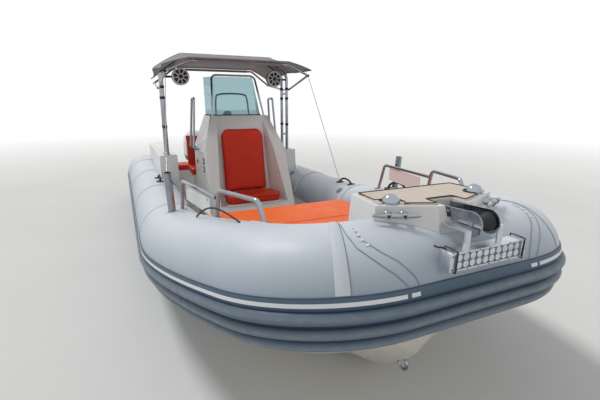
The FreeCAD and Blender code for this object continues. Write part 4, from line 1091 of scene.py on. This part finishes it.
def canopy():
    """One stretched sheet over the hoops, sagging a little between them, with a hem."""
    rows = canopy_rows()
    wide = len(rows[0])
    verts = [v for row in rows for v in row]
    faces = grid(len(rows), wide, ring=False, ends="open")
    sheet = mesh_piece("canopy_cloth", verts, faces, CANVAS)
    if sum(face.normal.z for face in sheet.data.polygons) < 0:
        sheet.data.flip_normals()
    tuned(sheet.modifiers.new("thick", "SOLIDIFY"), thickness=CLOTH_THICK, offset=-1)
    subdivided(sheet, 1)
    edges = (
        ("fore", rows[0], -0.004, 0.0075),
        ("aft", rows[-1], 0.004, 0.0075),
        ("port", [row[0] for row in rows], 0, 0.005),
        ("starboard", [row[-1] for row in rows], 0, 0.005),
    )
    for word, line, inward, radius in edges:
        line = [p + Vector((inward, 0, -0.004)) for p in line]
        wire("canopy_hem_" + word, line, radius, CANVAS, curved=False)
    for index, at in enumerate(SEAM_ROWS):
        line = [p + Vector((0, 0, 0.0006)) for p in rows[at]]
        wire(f"canopy_seam_{index}", line, CLOTH_THICK, CANVAS, curved=False)
    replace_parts(sheet, "canopy")


TIE_HEIGHTS = (1.25, 1.58, 1.70)
TIE_Y = 0.765
SLEEVE_DROP = 0.0325
CORNER_TIE = ((0.016, -0.012), (0.018, 0.0), (0.016, 0.012))
ARCH_TIE = ((0.0205, -0.016), (0.0225, 0.0), (0.0205, 0.016))


def sleeves():
    """Cloth sleeves that hold the top to its end hoops, and the black ties at its corners."""
    ties = Heap()
    for word, hoop, inward in (("fore", HOOPS[0], -0.025), ("aft", HOOPS[-1], 0.025)):
        x, top_z, top_half, edge_z, edge_half = hoop
        end = top_half - 0.07
        points = [(x + inward, y, top_z - SLEEVE_DROP) for y in (end, 0.2, -0.2, -end)]
        wire("canopy_sleeve_" + word, points, 0.0155, CANVAS, curved=False)
        for side, _ in SIDES:
            at = Vector((x + inward, side * (edge_half - 0.03), edge_z - 0.06))
            ties.turned(CORNER_TIE, at, (0.2, side * 0.3, 1.0), 14)
    for x, *_ in HOOPS[1:3]:
        for side, _ in SIDES:
            for z in TIE_HEIGHTS:
                ties.turned(ARCH_TIE, (x, side * TIE_Y, z), UPWARD, 18)
    ties.piece("arch_ties", RUBBER, slot="black")


SPEAKER_R = 0.095
SPEAKER_Y = 0.565
SPEAKER_Z = 1.812
GRILLE_RINGS = ((SPEAKER_R - 0.017, SPEAKER_R + 0.001, 0.012), (0.024, 0.036, 0.014))
SPOKES = 8
SPOKE_END = SPEAKER_R - 0.012
SPOKE_PLAN = ((-0.0045, 0.030), (0.0045, 0.030), (0.006, SPOKE_END), (-0.006, SPOKE_END))
SPEAKER_CONE = ((SPEAKER_R - 0.014, 0.0006), (0.05, 0.001), (0.03, 0.004), (0.006, 0.005))


def speaker_grilles():
    """The pale ring, spokes and dark cone on each loudspeaker's face."""
    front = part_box("speakers")[1].x
    rings = Heap()
    cones = Heap()
    for side, _ in SIDES:
        centre = Vector((front, side * SPEAKER_Y, SPEAKER_Z))
        for inner, outer, depth in GRILLE_RINGS:
            profile = [(inner, 0.0), (outer, 0.0), (outer, depth * 0.6), (outer - 0.004, depth)]
            profile += [(inner + 0.003, depth), (inner, depth * 0.7)]
            rings.ring(profile, centre, 32)
        for k in range(SPOKES):
            turn = Matrix.Rotation(2 * math.pi * k / SPOKES + 0.2, 3, "X")
            verts = [centre + turn @ Vector((x, y, z)) for x in (0.002, 0.009) for y, z in SPOKE_PLAN]
            rings.add(verts, grid(2, len(SPOKE_PLAN)))
        cones.turned(SPEAKER_CONE, centre, FORWARD, 32)
    rings.piece("speaker_grilles", plastic("grille_white", "d9dcdf", 0.4, lift=1.0), slot="board")
    cones.piece("speaker_cones", BLACK, slot="black")


# Bow fittings


LAMP_BACK_X = 3.1685
LAMP_Z = 0.958
LAMP_HALF_Y = 0.2
LAMP_HALF_Z = 0.037
RIM_Z = 0.0335  # from the lamp's middle
RIM_HALF = 0.0035
LAMP_CUP = [(0.0136, 0.0), (0.0136, 0.0026), (0.0118, 0.0022)]
LAMP_CUP += [(0.0055, 0.0008), (0.0034, 0.003), (0.0006, 0.0034)]
LAMP_TIES_Y = (-0.172, 0.188)
LAMP_TIE_BACK = ((3.19, 0.043), (3.160, 0.043), (3.158, 0.0), (3.160, -0.042), (3.19, -0.043))
LAMP_KNOT = ((3.196, -0.196, 1.002), (3.180, -0.205, 1.010), (3.168, -0.214, 1.004), (3.160, -0.224, 1.012))


def light_bar_face():
    """The lamp's face: two rows of reflectors on a dark back, a rim with screws, and end plates."""
    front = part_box("light_bar")[1].x
    cups = Heap()
    rim = Heap()
    dark = Heap()
    back = Heap()
    inner = LAMP_HALF_Y - 0.021
    back.block((front - 0.001, -inner, LAMP_Z - 0.031), (front + 0.0005, inner, LAMP_Z + 0.031))
    back.piece("lamp_pane", plastic("lamp_pane", "68727c", 0.25), slot="lamp")
    for k in range(10):
        for z in (-0.0145, 0.0145):
            cups.turned(LAMP_CUP, (front, -0.153 + 0.034 * k, LAMP_Z + z), FORWARD, 18)
    half = LAMP_HALF_Y - 0.02
    for level in (LAMP_Z - RIM_Z, LAMP_Z + RIM_Z):
        rim.block((front - 0.001, -half, level - RIM_HALF), (front + 0.005, half, level + RIM_HALF), 0.0012)
        for k in range(7):
            at = (front + 0.0048, -0.165 + 0.055 * k, level)
            dark.head((0.0024, 0.0012), (0.001, 0.0015), at, FORWARD, 8)
    tall = LAMP_HALF_Z + 0.002
    for side, _ in SIDES:
        y0, y1 = sorted((side * (LAMP_HALF_Y - 0.022), side * (LAMP_HALF_Y + 0.004)))
        rim.block((LAMP_BACK_X - 0.002, y0, LAMP_Z - tall), (front + 0.006, y1, LAMP_Z + tall), 0.009)
        for z in (-0.026, 0.026):
            at = (front + 0.006, side * (LAMP_HALF_Y - 0.009), LAMP_Z + z)
            dark.head((0.003, 0.0015), (0.001, 0.002), at, FORWARD, 8)
    cups.piece("lamp_reflectors", LENS, slot="lamp")
    rim.piece("lamp_rims", SILVER, slot="lamp")
    dark.piece("lamp_screws", BLACK, slot="black")


def light_bar_back():
    """The lamp's cooling fins, and the black ties round it with a knot."""
    fins = Heap()
    for k in range(26):
        y = -0.165 + 0.0132 * k
        low = (LAMP_BACK_X - 0.008, y - 0.0015, LAMP_Z - 0.026)
        fins.block(low, (LAMP_BACK_X, y + 0.0015, LAMP_Z + 0.026))
    fins.piece("lamp_fins", SILVER, slot="lamp")
    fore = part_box("light_bar")[1].x + 0.008
    section = ((fore, -0.041), (fore, 0.0), (fore, 0.041)) + LAMP_TIE_BACK
    for index, y in enumerate(LAMP_TIES_Y):
        loop = [(x, y + z * 0.06, LAMP_Z + z) for x, z in section]
        wire(f"lamp_tie_{index}", loop, 0.0028, RUBBER, closed=True, curved=False)
    wire("lamp_knot", LAMP_KNOT, 0.0035, RUBBER)


CLEAT_FROM = (2.928, 0.328)
CLEAT_TO = (3.038, 0.095)
CLEAT_Z = 1.088
CLEAT_HALF_BAR = ((0.0035, 0.098), (0.0062, 0.092), (0.0088, 0.06), (0.0105, 0.032))
CLEAT_BAR = [(r, -d) for r, d in CLEAT_HALF_BAR] + list(reversed(CLEAT_HALF_BAR))
CLEAT_BOSS = [(0.019, 0.001), (0.019, 0.006), (0.0125, 0.012), (0.0120, 0.032)]
CLEAT_BOSS += [(0.015, 0.044), (0.0135, 0.0515), (0.009, 0.053)]
CLEAT_BOLT = ((0.0072, 0.0520), (0.0072, 0.0545), (0.004, 0.0552))


def cleats():
    """Stainless cleats: a bar that tapers to its ends, on two round bosses with bolts."""
    (x0, y0), (x1, y1) = CLEAT_FROM, CLEAT_TO
    heap = Heap()
    bolts = Heap()
    for side, _ in SIDES:
        along = Vector((x1 - x0, side * (y1 - y0), 0)).normalized()
        out = Vector((-along.y, along.x, 0)) * side
        middle = Vector((x0, side * y0, CLEAT_Z)) + along * 0.078
        heap.turned(CLEAT_BAR, middle + out * 0.0405, along, 18)
        for d in (-0.032, 0.032):
            heap.turned(CLEAT_BOSS, middle + along * d, out, 22)
            bolts.turned(CLEAT_BOLT, middle + along * d, out, 6)
    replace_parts(heap.piece("cleat_forms", STEEL, slot="stainless"), "bow_cleats")
    bolts.piece("cleat_bolts", BLACK, slot="black")


PAD_TOP = 1.1243
PAD_OUTLINE = ((2.724, 0.0), (2.724, 0.276), (2.80, 0.283), (2.862, 0.288), (2.868, 0.262), (2.862, 0.238))
PAD_OUTLINE += ((2.876, 0.208), (2.905, 0.186), (2.94, 0.190), (2.962, 0.206), (2.966, 0.19), (3.006, 0.096))
PAD_OUTLINE += ((3.006, 0.078), (2.95, 0.076), (2.936, 0.07), (2.936, 0.0))
CHEEK_BOLTS = ((2.985, 1.088), (3.04, 1.095), (3.165, 1.072))
CHEEK_Y = 0.050


def fairing_trim():
    """The dark caulk round the tread pad, and the bolts on the roller's cheeks."""
    bolts = Heap()
    for side, word in SIDES:
        points = [(x, side * y, PAD_TOP) for x, y in PAD_OUTLINE]
        wire("pad_caulk_" + word, points, 0.0036, CAULK, curved=False)
        for x, z in CHEEK_BOLTS:
            bolts.head((0.010, 0.004), (0.006, 0.0065), (x, side * CHEEK_Y, z), (0, side, 0))
    bolts.piece("cheek_bolts", STEEL, slot="stainless")


BOARD_SCREWS = ((1.50, 0.8625), (1.90, 0.8035))


def name_board_trim():
    """Two screws in each blank board."""
    low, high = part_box("name_boards")
    level = (low.z + high.z) / 2 + 0.035
    screws = Heap()
    for side, _ in SIDES:
        for x, y in BOARD_SCREWS:
            screws.head((0.006, 0.002), (0.003, 0.003), (x, side * (y + 0.0035), level), (0, side, 0), 10)
    screws.piece("board_screws", STEEL, slot="stainless")


# Console and helm


LATCH = ((0.022, 0.0), (0.022, 0.004), (0.016, 0.007), (0.006, 0.008))
LATCH_AT = (-0.43, -0.4505, 0.861)
GASKET = ((-0.490, 0.320, 1.388), (-0.225, 0.264, 1.388))


def console_trim():
    """A black bar as painted shade in the slot under the seat, the hatch's latch and the screen's gasket."""
    slot = Heap()
    # The slot's darkness is shade; this black bar paints it.
    slot.block((0.452, -0.20, 0.392), (0.4665, 0.20, 0.402), 0.003)
    slot.piece("seat_slot_shade", BLACK, slot="black")
    latch = Heap()
    latch.turned(LATCH, LATCH_AT, (0, -1, 0), 22)
    latch.piece("hatch_latch", BLACK, body="door", slot="black")
    wire("screen_gasket", mirrored(GASKET), 0.008, RUBBER, curved=False)


SCREEN_RAIL = ((-0.47, 0.20, 1.386), (-0.50, 0.195, 1.58), (-0.50, 0.16, 1.63))
COMPASS = ((0.052, 0.0), (0.052, 0.016), (0.044, 0.034), (0.024, 0.046), (0.002, 0.049))
COMPASS_AT = (-0.33, -0.10, 1.386)


def inner_rail():
    """The low hoop rail inside the windscreen, and the compass dome before it."""
    wire("screen_rail", mirrored(SCREEN_RAIL), 0.010, STEEL)
    dome = Heap()
    dome.turned(COMPASS, COMPASS_AT, UPWARD, 28)
    dome.piece("compass_dome", WHITE)


HELM_FOOT = Vector((-0.6, 0, 0.95))
HELM_TOP = Vector((-0.5, 0, 1.385))
GAUGES = ((-0.14, 0.038), (0.0, 0.048), (0.14, 0.038))  # place across, and radius
GAUGE_SHARE = 0.88
SWITCHES = 6
SWITCH_SHARE = 0.18
SWITCH_HALF = Vector((0.008, 0.011, 0.004))


def helm_face():
    """Gauges and switches on the helm side of the console."""
    run = HELM_TOP - HELM_FOOT
    out = Vector((-run.z, 0, run.x)).normalized()
    bezels = Heap()
    faces = Heap()
    for y, radius in GAUGES:
        at = HELM_FOOT + run * GAUGE_SHARE + Vector((0, y, 0)) + out * 0.001
        inner = radius - 0.007
        bezels.turned([(radius, 0.0), (radius, 0.010), (radius - 0.006, 0.013), (inner, 0.006)], at, out, 30)
        faces.turned([(inner, 0.0065), (0.004, 0.0075)], at, out, 30)
    switches = Heap()
    turn = out.to_track_quat("Z", "Y").to_matrix()
    for k in range(SWITCHES):
        at = HELM_FOOT + run * SWITCH_SHARE + Vector((0, -0.075 + 0.03 * k, 0)) + out * 0.004
        switches.block(at - SWITCH_HALF, at + SWITCH_HALF, 0.0015, turn)
    bezels.piece("gauge_bezels", STEEL, slot="stainless")
    faces.piece("gauge_faces", DIAL, slot="black")
    switches.piece("helm_switches", BLACK, slot="black")


SOLE_Z = 0.1305
SOLE_PADS = (
    # aft and fore ends, starboard and port edges
    (0.54, 0.95, -0.60, 0.60),
    (-0.56, 0.46, 0.49, 0.63),
    (-0.56, 0.46, -0.63, -0.49),
    (-1.10, -0.64, -0.60, 0.60),
    (-1.84, -1.56, -0.60, 0.60),
)


def deck_pads():
    """Non-skid pads moulded on the cockpit sole."""
    pads = Heap()
    for x0, x1, y0, y1 in SOLE_PADS:
        pads.block((x0, y0, SOLE_Z - 0.0003), (x1, y1, SOLE_Z + 0.003), 0.0012)
    pads.piece("sole_pads", NON_SKID)


# Stern and engine


COWL_ROWS = (
    # share of height, fore share, aft share, half-width share
    (0.0, 0.10, 0.10, 0.80),
    (0.06, 0.05, 0.06, 0.90),
    (0.20, 0.02, 0.02, 0.98),
    (0.40, 0.01, 0.00, 1.00),
    (0.58, 0.02, 0.01, 0.98),
    (0.74, 0.05, 0.05, 0.92),
    (0.87, 0.12, 0.13, 0.78),
    (0.95, 0.21, 0.24, 0.58),
    (1.0, 0.36, 0.42, 0.24),
)
COWL_SIDES = 40
COWL_POWER = 0.62  # squarer as it nears 0
COWL_TAPER = 0.16  # how much narrower the cover's fore end is
BAND_SHARE = 0.20


def cowl():
    """The engine's cover: a rounded form with a dark lower band and air vents."""
    low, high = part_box("engine_cowl")
    size = high - low
    verts = []
    for share, fore, aft, wide in COWL_ROWS:
        x1, x0 = high.x - fore * size.x, low.x + aft * size.x
        for c, s in turns(COWL_SIDES):
            x = (x0 + x1) / 2 + (x1 - x0) / 2 * math.copysign(abs(c) ** COWL_POWER, c)
            y = high.y * wide * math.copysign(abs(s) ** COWL_POWER, s) * (1 - COWL_TAPER * max(c, 0) ** 2)
            verts.append((x, y, low.z + share * size.z))
    faces = grid(len(COWL_ROWS), COWL_SIDES)
    cover = mesh_piece("cowl_cover", verts, faces, PAINT, BODY_OF["engine_cowl"])
    subdivided(cover, 2)
    cover.data.materials.append(COWL_DARK)
    for face in cover.data.polygons:
        if face.center.z < low.z + BAND_SHARE * size.z:
            face.material_index = 1
    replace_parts(cover, "engine_cowl")
    vents = Heap()
    for side, _ in SIDES:
        inner, outer = sorted((side * 0.186, side * 0.2005))
        for k in range(4):
            z = low.z + (0.66 + 0.03 * k) * size.z
            corner = (low.x + 0.10 + 0.01 * k, inner, z - 0.0035)
            vents.block(corner, (low.x + 0.19, outer, z + 0.0035), 0.002)
    vents.piece("cowl_vents", COWL_DARK, BODY_OF["engine_cowl"], "engine")


TRANSOM_X = -2.7502
BRACKET_X = -2.7723
BRACKET_BOLTS_Z = (0.14, 0.20, 0.26)
STERN_EYE_Y = 0.55
STERN_EYE = ((-2.7515, 0.34), (-2.80, 0.345), (-2.80, 0.415), (-2.7515, 0.42))


def stern_fittings():
    """Towing eyes, drain plugs and the bracket's bolts on the transom."""
    bolts = Heap()
    for side, _ in SIDES:
        for z in BRACKET_BOLTS_Z:
            bolts.head((0.013, 0.008), (0.008, 0.011), (BRACKET_X, side * 0.075, z), AFTWARD)
        bolts.head((0.026, 0.006), (0.014, 0.010), (TRANSOM_X, side * 0.42, 0.16), AFTWARD, 20)
    bolts.piece("transom_bolts", STEEL, slot="stainless")
    for side, word in SIDES:
        wire("stern_eye_" + word, [(x, side * STERN_EYE_Y, z) for x, z in STERN_EYE], 0.007, STEEL)


CHINE_HALF = 0.80
CHINE_BEND_X = 0.5
CHINE_REACH = 2.75
HULL_TOP = 0.42
STRAKE_SHARES = (0.34, 0.66)


def hull_lines():
    """The spray strakes under the hull."""
    hull = surface_of(NODES["hull"])
    for side, word in SIDES:
        for index, share in enumerate(STRAKE_SHARES):
            points = []
            for k in range(60):
                x = -2.70 + 5.1 * k / 59
                ahead = max(0.0, x - CHINE_BEND_X) / CHINE_REACH
                y = side * CHINE_HALF * max(0.0, 1 - ahead**2) * share
                hit = hull.ray_cast(Vector((x, y, -1.0)), Vector(UPWARD), 3.0)
                if hit[0] is not None and hit[0].z < HULL_TOP:
                    points.append(hit[0] + Vector((0, 0, -0.002)))
            wire(f"hull_strake_{word}{index}", points, 0.011, GEL, sides=2)


# Floor, light and camera


FLOOR_SIZE = 160
FADE_FROM = 5.0
FADE_TO = 16.0
SKY_LIGHT = 0.47
SUN_LIGHT = 1.36
SUN_FROM = (-0.46, -0.34, 0.82)
SUN_ANGLE = rad(14)


def floor():
    """The pale floor at the waterline, which keeps the shadow and fades to white far off."""
    bpy.ops.mesh.primitive_plane_add(size=FLOOR_SIZE, location=(0, 0, 0))
    plane = bpy.context.object
    plane.name = "studio_floor"
    n = Nodes("floor_paint")
    n.set(Base_Color=n.mix(n.ramp(n.noise(0.6, 3.0), 0.3, 0.7), rgb("eaeae8"), rgb("e5e5e3")))
    n.set(Roughness=0.8, Specular_IOR_Level=0.1)
    far = n.add("ShaderNodeVectorMath", operation="LENGTH")
    n.link(n.at(), far.inputs[0])
    path = n.add("ShaderNodeLightPath")
    distant = n.ramp(far.outputs["Value"], FADE_FROM, FADE_TO)
    fade = n.math("MULTIPLY", distant, path.outputs["Is Camera Ray"])
    mixed = n.add("ShaderNodeMixShader")
    glow = n.add("ShaderNodeEmission")
    for socket, source in zip(mixed.inputs, (fade, n.shader.outputs[0], glow.outputs[0])):
        n.link(source, socket)
    n.link(mixed.outputs[0], n.tree.nodes["Material Output"].inputs["Surface"])
    plane.data.materials.append(n.material)


def sky():
    """Even light from all round, which the camera, gloss and glass see as white."""
    world = bpy.data.worlds.new("studio")
    scene.world = world
    world.use_nodes = True
    tree = world.node_tree
    background = tree.nodes["Background"]
    path = tree.nodes.new("ShaderNodeLightPath")
    seen = path.outputs["Is Camera Ray"]
    for name in ("Is Glossy Ray", "Is Transmission Ray"):
        either = tree.nodes.new("ShaderNodeMath")
        either.operation = "MAXIMUM"
        tree.links.new(seen, either.inputs[0])
        tree.links.new(path.outputs[name], either.inputs[1])
        seen = either.outputs["Value"]
    mix = tree.nodes.new("ShaderNodeMix")
    mix.inputs["A"].default_value = SKY_LIGHT
    mix.inputs["B"].default_value = 1.0
    tree.links.new(seen, mix.inputs["Factor"])
    tree.links.new(mix.outputs["Result"], background.inputs["Strength"])
    background.inputs["Color"].default_value = (1.0, 1.0, 1.0, 1.0)


def sun():
    """One broad soft lamp, high over the starboard quarter."""
    data = tuned(bpy.data.lights.new("key", "SUN"), energy=SUN_LIGHT, angle=SUN_ANGLE)
    light = bpy.data.objects.new("key", data)
    light.rotation_euler = Vector(SUN_FROM).to_track_quat("Z", "Y").to_euler()
    collection.objects.link(light)


CAMERA_AT = (4.176, -1.237, 1.524)
CAMERA_TURN = (155.39, 14.14, 0.08)  # yaw, pitch down and roll, in degrees
CAMERA_LENS = 23.12


def camera():
    """The camera at the photo's viewing angle."""
    yaw, pitch, roll = (rad(a) for a in CAMERA_TURN)
    ahead = Vector((math.cos(pitch) * math.cos(yaw), math.cos(pitch) * math.sin(yaw), -math.sin(pitch)))
    right = Vector((math.sin(yaw), -math.cos(yaw), 0))
    up = right.cross(ahead)
    right, up = right * math.cos(roll) + up * math.sin(roll), up * math.cos(roll) - right * math.sin(roll)
    data = bpy.data.cameras.new("camera")
    tuned(data, lens=CAMERA_LENS, sensor_width=36, clip_start=0.05, clip_end=200)
    eye = bpy.data.objects.new("camera", data)
    turn = Matrix((right, up, -ahead)).transposed()
    eye.matrix_world = Matrix.Translation(CAMERA_AT) @ turn.to_4x4()
    collection.objects.link(eye)
    scene.camera = eye


SOFTENED = (
    # node, radius of the rounding, shortest edge that gets it, and height above which none does
    ("bow_fairing", 0.014, 0.03, 9.0),
    ("coamings", 0.022, 0.05, 9.0),
    ("helm_seat_base", 0.012, 0.05, 9.0),
    ("stern_bench", 0.012, 0.05, 9.0),
    ("console", 0.012, 0.12, 1.3),
)

floor()
sky()
sun()
camera()
tube_skin()
strake_skin()
stripe()
collar_seams()
saddle()
tube_patches()
grab_handles()
valves()
thin_strap()
seat_front()
sun_pad()
plain_cushions()
canopy()
sleeves()
speaker_grilles()
light_bar_face()
light_bar_back()
cleats()
fairing_trim()
name_board_trim()
console_trim()
inner_rail()
helm_face()
deck_pads()
cowl()
stern_fittings()
hull_lines()
for node, width, longest, rim in SOFTENED:
    softened(node, width, longest, rim)
scene.view_settings.view_transform = "Standard"
